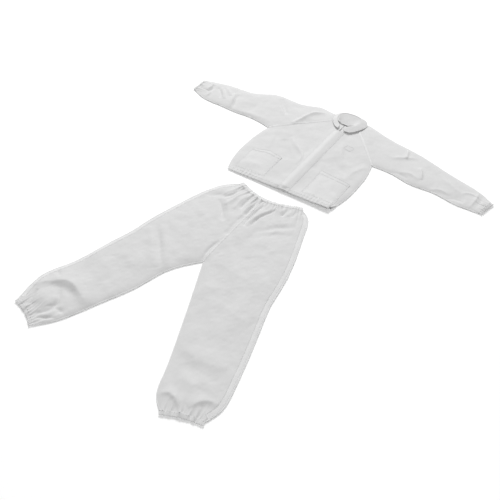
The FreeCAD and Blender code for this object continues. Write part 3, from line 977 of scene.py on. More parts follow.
def ruled(
    first: Array, second: Array, marks: Sequence[Point], rows: int, columns: int,
    head: Array | None = None, tail: Array | None = None
) -> Array:
    """Grid of places between two edges of a piece of cloth.

    Cross lines join the edges at matched shares of their lengths. Where an end is curved, the difference
    between it and its straight cross line is added and fades over the first or last eighth of the rows.

    Args:
        first: First edge.
        second: Second edge.
        marks: Matched shares of the two lengths, in order.
        rows: Number of cross lines.
        columns: Points on each of them.
        head: Curve of the first end, from the first edge to the second.
        tail: Curve of the last end.
    Returns:
        The grid, rows by columns by two.
    """
    r = np.linspace(0, 1, rows)
    a, b = np.array(marks).T
    total = (a + b) / 2
    p = at(first, np.interp(r, total / total[-1], a))
    q = at(second, np.interp(r, total / total[-1], b))
    c = np.linspace(0, 1, columns)
    grid = p[:, None] * (1 - c)[None, :, None] + q[:, None] * c[None, :, None]
    for curve, fade in ((head, np.clip(1 - 8 * r, 0, 1) ** 2), (tail, np.clip(8 * r - 7, 0, 1) ** 2)):
        if curve is not None:
            row = 0 if curve is head else -1
            grid = grid + (at(curve, c) - grid[row])[None] * fade[:, None, None]
    return grid


def share_of(path: Array, point: Point) -> float:
    """Share of a path's length at the place nearest to a point."""
    return float(nearest(np.array([point[0]]), np.array([point[1]]), path)[1][0])


@dataclass(frozen=True)
class SleeveCut:
    """Sizes of one raglan sleeve and where it folds."""

    side: Side
    over_armpit: float
    heading: float
    length: float
    widths: tuple[tuple[float, float, float], ...]
    crest: tuple[Point, ...]
    fold_x: float


@dataclass
class Jacket(Garment):
    """Zipped raglan jacket: back, two fronts, sleeves, hem and cuffs."""

    relief: Relief | None = None
    body_x: float = -0.005
    hem_y: float = 0.238
    chest_half: float = 0.300
    hem_half: float = 0.262
    armpit_half: float = 0.282
    armpit_y: float = 0.610
    front_x: float = 0.028
    neck_y: float = 0.832
    neck_half: float = 0.052
    neck_depth: float = 0.042
    front_dip: float = 0.52
    zipper_top: float = 0.738
    top_y: float = 0.886
    raglan_turn: float = 15.0
    hem_width: float = 0.018
    hem_gathers: Point = (0.0009, 0.017)
    cuff_band: Band = Band(0.014, 0.0022, 0.0105, (0.0025, 0.0110), 0.0006)
    zip_gap: float = 0.006
    loft: float = 0.016
    fold_half: float = 0.307
    sleeves: tuple[SleeveCut, ...] = (
        SleeveCut(
            Side.LEFT, 0.121, -13.7, 0.518,
            ((0.2, 0.098, 0.104), (0.4, 0.090, 0.102), (0.6, 0.080, 0.076), (0.8, 0.075, 0.071),
             (0.94, 0.060, 0.054), (1.0, 0.047, 0.046)),
            ((0.077, 0.279), (0.196, 0.241)), 0.302,
        ),
        SleeveCut(
            Side.RIGHT, 0.143, -178.6, 0.492,
            ((0.2, 0.127, 0.116), (0.4, 0.084, 0.114), (0.6, 0.080, 0.104), (0.8, 0.075, 0.095),
             (0.94, 0.062, 0.070), (1.0, 0.054, 0.053)),
            ((0.122, 0.281), (0.188, 0.289), (0.263, 0.266)), -0.312,
        ),
    )

    def neck_arc(self, start: float, end: float, grow: float = 0.0, count: int = 40) -> Array:
        """Points of the neck opening between two turns in degrees: an ellipse round its middle."""
        turn = np.radians(np.linspace(start, end, count))
        return np.column_stack([
            self.front_x + (self.neck_half + grow) * np.cos(turn),
            self.neck_y + (self.neck_depth + grow) * np.sin(turn),
        ])

    def neckline_y(self, y: Array) -> Array:
        """The front neckline is drawn up under the collar: it dips only half as deep as the back one."""
        return np.where(y < self.neck_y, self.neck_y + (y - self.neck_y) * self.front_dip, y)

    def side_run(self, side: Side) -> Array:
        """Side seam from the hem to the armpit."""
        rise = self.armpit_y - self.hem_y
        swell = self.chest_half - self.hem_half
        halves = ((self.hem_half, 0.0), (self.hem_half + 0.65 * swell, 0.19), (self.chest_half, 0.54),
                  (self.chest_half - 0.003, 0.78), (self.armpit_half, 1.0))
        return spline([(self.body_x + side.sign * half, self.hem_y + share * rise) for half, share in halves])

    def armpit(self, side: Side) -> Point:
        """Where side seam, raglan seam and sleeve seam meet."""
        return (self.body_x + side.sign * self.armpit_half, self.armpit_y)

    def neck_point(self, side: Side) -> Point:
        """Where the raglan seam meets the neck."""
        turn = self.raglan_turn if side is Side.LEFT else 180 - self.raglan_turn
        x, y = self.neck_arc(turn, turn, count=2)[0]
        return (float(x), float(y))

    def sleeve_edges(self, cut: SleeveCut) -> tuple[Array, Array]:
        """Upper edge from behind the neck to the cuff, and under edge from the armpit to the cuff."""
        root = (self.body_x + cut.side.sign * self.fold_half, self.armpit_y + cut.over_armpit)
        upper, lower = Limb(root, cut.heading, cut.length, cut.widths, cut.side).edges()
        crest = [(self.front_x + cut.side.sign * out, self.armpit_y + up) for out, up in cut.crest]
        return spline([(self.front_x, self.top_y), *crest, *upper]), spline([self.armpit(cut.side), *lower])

    def cuff(self, cut: SleeveCut) -> Mouth:
        """Opening at the end of a sleeve."""
        over, under = self.sleeve_edges(cut)
        ends = [over[-1], under[-1]] if cut.side is Side.LEFT else [under[-1], over[-1]]
        return Mouth(spline([tuple(p) for p in ends]), (0.0095, 0.0120, 0.0130, 0.0115, 0.0090), flatness=2.6)

    def hem(self) -> Mouth:
        """Opening at the hem, whose front stands higher towards the left corner."""
        half = self.hem_half + 0.002
        run = spline([(self.body_x - half, self.hem_y), (self.body_x + half, self.hem_y)])
        tops = (0.0090, 0.0105, 0.0130, 0.0160, 0.0158, 0.0170, 0.0240)
        return Mouth(run, tops, 4.0, False, (0.0072, 0.0078, 0.0092, 0.0118, 0.0128, 0.0145, 0.0215), 0.0120)

    def drape(self) -> None:
        """Sets how the jacket lies: seams, openings, folds and pleats."""
        seams = [self.side_run(side) for side in Side]
        for cut in self.sleeves:
            seams += list(self.sleeve_edges(cut))
        hem = self.hem()
        mouths = [Mouth(beside(np.asarray(hem.line), self.hem_width), hem.tops, flatness=hem.flatness)]
        gathers = [
            Gathers(((-0.262, 0.256), (-0.150, 0.256)), 0.016, 0.0016, 0.030, 31),
            Gathers(((-0.150, 0.256), (-0.010, 0.256)), 0.021, 0.0007, 0.018, 32),
            Gathers(((0.060, 0.256), (0.255, 0.256)), 0.019, 0.0010, 0.022, 33),
        ]
        for k, cut in enumerate(self.sleeves):
            cuff = self.cuff(cut)
            mouths.append(Mouth(np.asarray(cuff.line), cuff.tops, flatness=cuff.flatness))
            run = [tuple(p) for p in np.asarray(cuff.line)[::6]]
            gathers.append(Gathers(run, 0.0125, 0.0030, 0.030 + 0.020 * k, 41 + k))
        folds = [
            Fold(((-0.140, 0.600), (-0.080, 0.540), (-0.022, 0.490), (-0.014, 0.420)), 0.0052, 0.013, 0.45),
            Fold(((-0.165, 0.560), (-0.110, 0.500), (-0.070, 0.430)), -0.0030, 0.022),
            Fold(((0.064, 0.520), (0.062, 0.476), (0.070, 0.430)), -0.0036, 0.024, 0.8),
            Fold(((0.085, 0.690), (0.125, 0.600), (0.180, 0.530)), 0.0028, 0.020, 0.5),
            Fold(((0.105, 0.560), (0.160, 0.510), (0.240, 0.480)), -0.0024, 0.022),
            Fold(((-0.250, 0.600), (-0.205, 0.520), (-0.190, 0.460)), 0.0026, 0.018, 0.5),
            Fold(((0.265, 0.585), (0.235, 0.520), (0.225, 0.440)), 0.0026, 0.018, 0.6),
            Fold(((-0.200, 0.690), (-0.176, 0.760), (-0.150, 0.825), (-0.100, 0.860)), 0.0072, 0.015, 0.6),
            Fold(((-0.333, 0.800), (-0.305, 0.768), (-0.270, 0.730)), 0.0040, 0.012, 0.5),
            Fold(((-0.594, 0.770), (-0.570, 0.700), (-0.545, 0.645)), 0.0046, 0.013, 0.6),
            Fold(((-0.575, 0.765), (-0.548, 0.700), (-0.530, 0.650)), -0.0034, 0.010),
            Fold(((-0.705, 0.765), (-0.668, 0.735), (-0.640, 0.690)), -0.0040, 0.009),
            Fold(((-0.670, 0.790), (-0.628, 0.760), (-0.600, 0.735)), 0.0034, 0.010),
            Fold(((-0.745, 0.775), (-0.725, 0.745), (-0.735, 0.700)), -0.0042, 0.007),
            Fold(((-0.360, 0.860), (-0.320, 0.800), (-0.262, 0.740)), -0.0036, 0.014, crease=2.0),
            Fold(((0.560, 0.585), (0.600, 0.610), (0.650, 0.602)), 0.0030, 0.010),
            Fold(((0.640, 0.560), (0.672, 0.590), (0.720, 0.588)), -0.0034, 0.008),
            Fold(((0.690, 0.640), (0.728, 0.655), (0.760, 0.645)), 0.0030, 0.009),
            Fold(((0.350, 0.600), (0.400, 0.618), (0.455, 0.604)), -0.0034, 0.009),
            Fold(((0.400, 0.625), (0.450, 0.640), (0.500, 0.620)), 0.0028, 0.011),
            Fold(((-0.690, 0.778), (-0.650, 0.735), (-0.615, 0.695)), 0.0042, 0.011, 0.6),
            Fold(((-0.470, 0.800), (-0.440, 0.740), (-0.450, 0.660)), -0.0026, 0.020),
            Fold(((-0.520, 0.640), (-0.400, 0.655), (-0.300, 0.650)), 0.0026, 0.016),
            Fold(((0.371, 0.802), (0.380, 0.770), (0.392, 0.730)), 0.0052, 0.010, 0.5),
            Fold(((0.330, 0.700), (0.392, 0.740), (0.430, 0.765)), 0.0030, 0.012),
            Fold(((0.468, 0.705), (0.492, 0.670), (0.508, 0.630)), 0.0048, 0.011, 0.5),
            Fold(((0.560, 0.710), (0.640, 0.660), (0.700, 0.630)), 0.0026, 0.015, 0.6),
            Fold(((0.590, 0.590), (0.650, 0.600), (0.720, 0.610)), -0.0022, 0.016),
            Fold(((0.752, 0.690), (0.758, 0.640), (0.750, 0.570)), 0.0034, 0.008, 0.6),
            Fold(((0.772, 0.680), (0.780, 0.630), (0.772, 0.575)), -0.0028, 0.008),
            Fold(((-0.752, 0.780), (-0.742, 0.750), (-0.746, 0.715)), 0.0036, 0.009, 0.6),
            Fold(((-0.728, 0.715), (-0.714, 0.700), (-0.716, 0.665)), 0.0034, 0.009, 0.6),
            Fold(((0.120, 0.850), (0.170, 0.790), (0.205, 0.740)), 0.0024, 0.018),
        ]
        zipper = spline([(self.front_x, self.hem_y), (self.front_x, self.neck_y - self.neck_depth)])
        neckline = self.neck_arc(0, 360, 0.001, 90)
        neckline[:, 1] = self.neckline_y(neckline[:, 1])
        levels = [Level(neckline, self.loft, 0.022), Level(zipper, self.loft, 0.042, 4.0)]
        self.relief = Relief(seams, mouths, folds, gathers, 11, levels=levels)

    def front_panel(self, side: Side) -> bpy.types.Object:
        """One front of the body: rows across it from the zipper to the side seam, then to the raglan seam."""
        top = self.neck_point(side)[1]
        y = np.linspace(self.hem_y + self.hem_width - 0.002, top - 0.0004, 150)
        run = self.side_run(side)
        armpit, neck = self.armpit(side), self.neck_point(side)
        outer = np.interp(y, np.append(run[:, 1], neck[1]), np.append(run[:, 0], neck[0]))
        dip = np.where(y < self.neck_y, self.neck_depth * self.front_dip, self.neck_depth)
        bow = np.sqrt(np.clip(1 - ((y - self.neck_y) / dip) ** 2, 0, 1)) * self.neck_half
        gap = np.interp(y, [self.zipper_top, self.zipper_top + 0.008], [self.zip_gap, 0.0015])
        inner = self.front_x + side.sign * np.maximum(bow, gap)
        c = np.linspace(0, 1, 74)
        x = inner[:, None] * (1 - c) + outer[:, None] * c
        plan = np.stack([x, np.broadcast_to(y[:, None], x.shape)], axis=-1)
        z, push = self.relief.front(plan[..., 0], plan[..., 1])
        piece = sheet_piece(f"{side.value}_front_cloth", plan, z, CLOTH, FINISHES.single, push)
        return settle(piece, Carried("jacket"), "suit_cloth", f"{side.value}_front_panel")

    def back_panel(self) -> bpy.types.Object:
        """The back: rows across it between the side seams, the raglan seams and the back of the neck."""
        top = self.neck_y + self.neck_depth
        low = self.hem_y + self.hem_width - 0.002
        y = np.concatenate([np.linspace(low, 0.84, 90), np.linspace(0.8435, top - 0.0003, 8)])
        limits = []
        for side in Side:
            run, neck = self.side_run(side), self.neck_point(side)
            bow = np.sqrt(np.clip(1 - ((y - self.neck_y) / self.neck_depth) ** 2, 0, 1)) * self.neck_half
            edge = np.interp(y, np.append(run[:, 1], neck[1]), np.append(run[:, 0], neck[0]))
            limits.append(np.where(y > neck[1], self.front_x + side.sign * bow, edge))
        c = np.linspace(0, 1, 80)
        x = limits[1][:, None] * (1 - c) + limits[0][:, None] * c
        plan = np.stack([x, np.broadcast_to(y[:, None], x.shape)], axis=-1)
        z = self.relief.back(x, plan[..., 1])
        piece = sheet_piece("jacket_back_cloth", plan, z, CLOTH, FINISHES.inside)
        return settle(piece, Carried("jacket"), "suit_cloth", "jacket_back_panel")

    def folding(self, cut: SleeveCut) -> Carried:
        """Carrier of a sleeve's cloth: the jacket, naming the sleeve and two points across its fold line."""
        x, s = cut.fold_x, cut.side.sign
        return Carried("jacket", f"{cut.side.value}_sleeve", (x, 0.72, 0.016), (x + s * 0.060, 0.72, 0.016))

    def sleeve(self, cut: SleeveCut) -> None:
        """Front and back cloth, seams, cuff band and elastic of one sleeve."""
        word, folding = cut.side.value, self.folding(cut)
        over, under = self.sleeve_edges(cut)
        turn = (90, self.raglan_turn) if cut.side is Side.LEFT else (90, 180 - self.raglan_turn)
        arc = self.neck_arc(*turn)
        raglan = spline([self.neck_point(cut.side), self.armpit(cut.side)])
        lower = np.concatenate([arc, raglan[1:], under[1:]])
        first, second = share_of(lower, self.neck_point(cut.side)), share_of(lower, self.armpit(cut.side))
        s = cut.side.sign
        marks = ((0.0, 0.0), (share_of(over, (self.front_x + s * 0.095, 0.888)), first),
                 (share_of(over, (self.body_x + s * 0.335, 0.83)), second), (1.0, 1.0))
        plans = ruled(over, lower, marks, 230, 72), ruled(over, lower, marks, 110, 26)
        self.layers(f"{word}_sleeve", plans, (0.30, 0.86), folding, f"{word}_shoulder", f"{word}_sleeve")
        edges = {"over": (over, -s), "under": (under, s)}
        rolls = [self.edge_roll(f"{word}_{name}_roll", *edge) for name, edge in edges.items()]
        seams = join(f"{word}_sleeve_felled_seams", rolls)
        settle(seams, folding, "seam_cloth", f"{word}_shoulder_seam", f"{word}_sleeve_seams")
        self.edging(f"{word}_cuff", self.cuff(cut), self.cuff_band, Carried(f"{word}_sleeve"))
        strip = self.trim(f"{word}_raglan_trim", raglan[2:-1], 0.010, 0.0011, FINISHES.seam)
        settle(strip, Carried("jacket"), "seam_cloth", f"{word}_raglan_seam")
        rows = self.twin_rows(f"{word}_raglan", raglan[3:-2], 0.0032, 0.0012)
        settle(join(f"{word}_raglan_stitching", rows), Carried("jacket"), "seam_cloth")

    def hem_band(self) -> None:
        """Hem band with its elastic, cut open at the zipper, and its stitching."""
        hem = self.hem()
        run = lengths(np.asarray(hem.line))[-1]
        start = float(hem.line[0][0])
        power = hem.flatness / 2
        shares = [(self.front_x + s * (self.zip_gap + 0.0012) - start) / run for s in (1, -1)]
        turns = [math.acos(np.sign(1 - 2 * t) * abs(1 - 2 * t) ** power) for t in shares]
        arc = (turns[0], turns[1] + 2 * math.pi)
        cut = Band(self.hem_width, *self.hem_gathers)
        band = self.casing("hem_band", hem, cut, FINISHES.doubled, arc)
        settle(band, Carried("jacket"), "doubled_cloth", "hem_casing")
        elastic = self.casing("hem_elastic_band", hem, cut, FINISHES.elastic, arc, self.elastic_inset)
        settle(elastic, Carried("jacket"), "elastic", "hem_elastic")
        y = self.hem_y + self.hem_width - 0.0030
        ends = ((self.body_x - self.hem_half + 0.012, self.front_x - 0.010),
                (self.front_x + 0.030, self.body_x + self.hem_half - 0.010))
        rows = []
        for k, (low, high) in enumerate(ends):
            x = np.linspace(low, high, 60)
            share = (x - start) / run
            z = hem.top(share) - hem.sink(share, 0.17) + 0.9 * self.relief.pleats(x, 0 * x + y) + 0.0004
            rows.append(stitch_row(f"hem_row_{k}", np.column_stack([x, 0 * x + y, z])))
        settle(join("hem_stitching", rows), Carried("jacket"), "seam_cloth")

    def build(self) -> None:
        """Builds and dresses every piece of the jacket but its collar, closure and pockets."""
        self.drape()
        self.back_panel()
        for side in Side:
            self.front_panel(side)
            run = self.side_run(side)
            run = run[run[:, 1] > self.hem_y + self.hem_width - 0.002]
            roll = self.edge_roll(f"{side.value}_side_felled_seam", run, side.sign)
            settle(roll, Carried("jacket"), "seam_cloth", f"{side.value}_side_seam")
        for cut in self.sleeves:
            self.sleeve(cut)
        self.hem_band()


@dataclass
class Collar:
    """Stand that leans in round the neck, the fall behind it and the two rounded leaves in front."""

    jacket: Jacket
    cloth: float = 0.0018
    fold: tuple[Point, ...] = (
        (0.0280, 0.8950), (0.0540, 0.8930), (0.0750, 0.8820), (0.0850, 0.8620), (0.0830, 0.8380),
        (0.0735, 0.8190), (0.0600, 0.8060), (0.0495, 0.7930), (0.0420, 0.7720),
    )
    throat: tuple[Point, ...] = (
        (0.0270, 0.8225), (0.0450, 0.8225), (0.0580, 0.8220), (0.0640, 0.8195), (0.0625, 0.8145),
        (0.0530, 0.8110), (0.0400, 0.8085), (0.0345, 0.8070),
    )
    leaf_edge: tuple[Point, ...] = (
        (0.0760, 0.9000), (0.1020, 0.8930), (0.1190, 0.8720), (0.1215, 0.8450), (0.1080, 0.8080),
        (0.0890, 0.7800), (0.0740, 0.7660), (0.0590, 0.7600), (0.0490, 0.7600), (0.0425, 0.7650),
    )
    tucked: dict[Side, float] = field(default_factory=lambda: {Side.LEFT: 0.0, Side.RIGHT: 0.36})
    fall_edge: float = 0.0200
    leaf_from: float = 0.165
    stand_to: float = 0.66
    hinge: Point = (0.07426, 0.80646)
    hinge_height: float = 0.043
    outward_way: Point = (0.87547, -0.48328)

    def fold_height(self, y: Array) -> Array:
        """Height of the fold by place along Y: high behind the neck, sinking towards the front."""
        places = (0.735, 0.760, 0.785, 0.810, 0.845, 0.885)
        return np.interp(y, places, (0.0244, 0.0246, 0.0250, 0.0258, 0.0272, 0.0288))

    def mirrored(self, points: Sequence[Point], side: Side) -> Array:
        """Smooth run through the left leaf's points, or through their mirror for the right leaf."""
        middle = self.jacket.front_x
        return spline([(middle + side.sign * (x - middle), y) for x, y in points], 0.002)

    def dress(self, name: str, plan: Array, z: Array, carried: Carried, cad_node: str) -> None:
        """Makes a doubled sheet of the collar, with a row of stitches along its outer edge.

        Args:
            name: Piece name.
            plan: Grid in the plane, from the neck outwards across each row.
            z: Upper face's height at the grid.
            carried: What it moves with.
            cad_node: CAD node that it stands for.
        """
        piece = sheet_piece(name, plan, z, self.cloth, FINISHES.doubled)
        settle(piece, carried, "doubled_cloth", cad_node)
        row = np.concatenate([plan[1:-1, -4], z[1:-1, -4, None] + 0.0002], axis=1)
        settle(stitch_row(f"{name}_stitching", row), carried, "seam_cloth")

    def stand(self) -> None:
        """The stand: a band that rises and leans outward from the throat to the fold, all but in front."""
        rows = []
        for side in (Side.LEFT, Side.RIGHT):
            share = np.linspace(0, 1, 90)
            inner = at(self.mirrored(self.throat, side), share)
            outer = at(self.mirrored(self.fold, side), share * self.stand_to)
            t = np.linspace(0, 1, 16)
            rows.append(inner[:, None] * (1 - t)[None, :, None] + outer[:, None] * t[None, :, None])
        plan = np.concatenate([rows[1][::-1], rows[0][1:]])
        t = np.linspace(0, 1, 16)[None]
        top = self.fold_height(plan[:, -1:, 1]) - 0.0004
        turn = np.abs(np.linspace(-1, 1, len(plan)))[:, None]
        foot = np.interp(turn, [0.0, 0.40, 0.60, 1.0], [0.0110, 0.0125, 0.0182, 0.0182])
        unrest = 0.0006 * smooth_noise(plan[..., 0], plan[..., 1], 0.02, 5) * np.sin(np.pi * t)
        z = foot + (top - foot) * t**0.85 + unrest
        self.dress("collar_stand_cloth", plan, z, Carried("jacket"), "collar_stand")

    def fall_grid(self, fold: Array, edge: Array, edge_height: Array) -> tuple[Array, Array]:
        """Cloth that rolls over the fold and slopes down to its edge.

        Along each cross line the height first rises by a little roll, 1 - exp(-t / 0.08), and then sinks by
        t^1.15 to the edge's height.

        Args:
            fold: Fold line, one row a cross line.
            edge: Outer edge, as many rows.
            edge_height: Height of the edge at each row.
        Returns:
            The grid in the plane and its heights.
        """
        t = np.linspace(0, 1, 26)
        plan = fold[:, None] * (1 - t)[None, :, None] + edge[:, None] * t[None, :, None]
        high = self.fold_height(fold[:, 1])[:, None]
        z = high + 0.0018 * (1 - np.exp(-t / 0.08)) - (high + 0.0018 - edge_height[:, None]) * t**1.15
        return plan, z + 0.0009 * smooth_noise(plan[..., 0], plan[..., 1], 0.028, 3) * t * (1 - 0.5 * t)

    def build(self) -> None:
        """Builds the stand, the fall and both leaves."""
        self.stand()
        folds = {side: self.mirrored(self.fold, side) for side in Side}
        half = [at(folds[side], np.linspace(0, self.leaf_from, 30)) for side in Side]
        fold = np.concatenate([half[1][::-1], half[0][1:]])
        tips = [self.mirrored(self.leaf_edge, side)[0] for side in Side]
        behind = ((0.006, 0.9070), (self.jacket.front_x, 0.9085), (0.050, 0.9070))
        edge = at(spline([tuple(tips[1]), *behind, tuple(tips[0])], 0.002), np.linspace(0, 1, len(fold)))
        plan, z = self.fall_grid(fold, edge, np.full(len(fold), self.fall_edge))
        self.dress("collar_fall_cloth", plan, z, Carried("jacket"), "collar_fall_back")
        for side in Side:
            middle = self.jacket.front_x
            hinge = np.array([middle + side.sign * (self.hinge[0] - middle), self.hinge[1]])
            out = np.array([self.outward_way[0] * side.sign, self.outward_way[1]])
            start, end = ((*(hinge + out * d).tolist(), self.hinge_height) for d in (-0.006, 0.012))
            carried = Carried("jacket", f"{side.value}_collar_leaf", start, end)
            share = np.linspace(0, 1, 110)
            fold = at(folds[side], self.leaf_from + (1 - self.leaf_from) * share)
            edge = at(self.mirrored(self.leaf_edge, side), share)
            drawn_in = self.tucked[side] * np.clip(share * 2.5, 0, 1)
            edge = edge + (fold - edge) * drawn_in[:, None]
            clear = np.interp(edge[:, 1], [0.800, 0.850], [0.0078, 0.0036])
            ground = self.jacket.relief.front(edge[:, 0], edge[:, 1])[0] + clear
            low = ground + (self.fall_edge - ground) * np.clip((edge[:, 1] - 0.86) / 0.04, 0, 1)
            plan, z = self.fall_grid(fold, edge, low)
            word = side.value
            self.dress(f"{word}_collar_leaf_cloth", plan, z, carried, f"{word}_collar_leaf")


@dataclass
class Closure:
    """Zipper under its flap."""

    jacket: Jacket
    bottom: float = 0.262
    top: float = 0.738
    tape_inner: float = 0.0032
    tape_outer: float = 0.016
    tape_z: float = 0.0148
    coil_half: float = 0.0012
    tooth: float = 0.0016
    flap_x: Point = (0.003, 0.0572)
    flap_y: Point = (0.2405, 0.7460)

    def tape(self, side: Side) -> None:
        """Woven tape beside the coil."""
        x = self.jacket.front_x + side.sign * np.linspace(self.tape_inner, self.tape_outer, 8)
        y = np.linspace(self.bottom, self.top, 120)
        plan = np.stack(np.meshgrid(x, y), axis=-1)
        level = np.full(plan.shape[:2], self.tape_z)
        piece = sheet_piece(f"{side.value}_zipper_tape_weave", plan, level, 0.0006, FINISHES.tape)
        settle(piece, Carried("jacket"), "zipper_tape", f"{side.value}_zipper_tape")

    def coil(self, side: Side) -> None:
        """Coil of teeth: a small rounded section that swells and shrinks once a tooth."""
        count = int((self.top - self.bottom) / self.tooth) * 4
        y = np.linspace(self.bottom, self.top, count)
        swell = 0.86 + 0.14 * np.cos(2 * np.pi * y / self.tooth)
        x = self.jacket.front_x + side.sign * 0.0020
        centre = np.column_stack([0 * y + x, y, 0 * y + self.tape_z - 0.0004])
        wide = np.column_stack([swell, 0 * y, 0 * y])
        tall = np.column_stack([0 * y, 0 * y, swell * 0.9])
        section = rounded_section(self.coil_half, 0.0011, 8, 2.2)
        piece = swept_piece(f"{side.value}_zipper_coil_teeth", centre, wide, tall, section, FINISHES.coil)
        settle(piece, Carried("jacket"), "zipper_coil", f"{side.value}_zipper_coil")

    def ground(self, x: Array, y: Array) -> Array:
        """What the flap lies on: the front cloth, and below it the hem band."""
        hem = self.jacket.hem()
        start, end = hem.line[0][0], hem.line[-1][0]
        out = np.clip((self.jacket.hem_y + self.jacket.hem_width - y) / self.jacket.hem_width, 0, 1)
        return self.jacket.relief.front(x, y)[0] - hem.sink((x - start) / (end - start), out)

    def flap_height(self, x: Array, y: Array) -> Array:
        """Upper face of the flap: a low ridge over the zipper that slopes to both edges and sinks at the hem.

        The ridge is exp(-(d / r)^2) of the distance to the zipper's line, over a base just above the front.
        Towards the sewn edge and the free edge the height turns into that of the cloth beneath.
        """
        ground = self.ground(x, y)
        away = (x - self.jacket.front_x) / 0.0185
        unrest = 0.0005 * smooth_noise(x, y, 0.026, 18) * np.clip(np.abs(away) - 0.6, 0, 1)
        z = 0.0174 + 0.0062 * np.exp(-(away**2)) + unrest
        z = z - 0.0110 * np.clip((self.bottom - y) / 0.0215, 0, 1) ** 1.5
        sewn = np.clip((x - self.flap_x[1] + 0.010) / 0.010, 0, 1) ** 2
        free = np.clip((self.flap_x[0] + 0.009 - x) / 0.009, 0, 1) ** 2
        z = np.maximum(z, ground + 0.0016)
        z = z * (1 - sewn) + (ground + 0.0009) * sewn
        return z * (1 - free) + (ground + 0.0019) * free

    def flap(self) -> None:
        """Doubled flap over the zipper, sewn along its left edge, with two rows of stitches."""
        x = np.linspace(*self.flap_x, 40)
        y = np.linspace(*self.flap_y, 240)
        plan = np.stack(np.meshgrid(x, y), axis=-1)
        z = self.flap_height(plan[..., 0], plan[..., 1])
        piece = sheet_piece("placket_flap_cloth", plan, z, 0.0014, FINISHES.doubled)
        turning = Carried("jacket", "placket_flap", (0.0572, 0.48, 0.0192), (0.0480, 0.48, 0.0192))
        settle(piece, turning, "doubled_cloth", "placket_flap")
        rows = {"placket_sewn_row": 0.0545, "placket_free_row": 0.0085, "placket_inner_row": 0.0490}
        for name, place in rows.items():
            run = np.linspace(self.flap_y[0] + 0.004, self.flap_y[1] - 0.003, 150)
            path = np.column_stack([0 * run + place, run, self.flap_height(0 * run + place, run) + 0.0002])
            settle(stitch_row(name, path), turning, "seam_cloth")

    def build(self) -> None:
        """Builds tapes, coils and flap, and gives the metal pieces their finish."""
        for side in Side:
            self.tape(side)
            self.coil(side)
        self.flap()
        for name in ("zipper_slider", "zipper_pull_tab", "zipper_bottom_stop", "zipper_top_stops"):
            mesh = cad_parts[name].data
            mesh.materials.clear()
            mesh.materials.append(FINISHES.slider.material())
            LOG.info("%s: new finish", name)


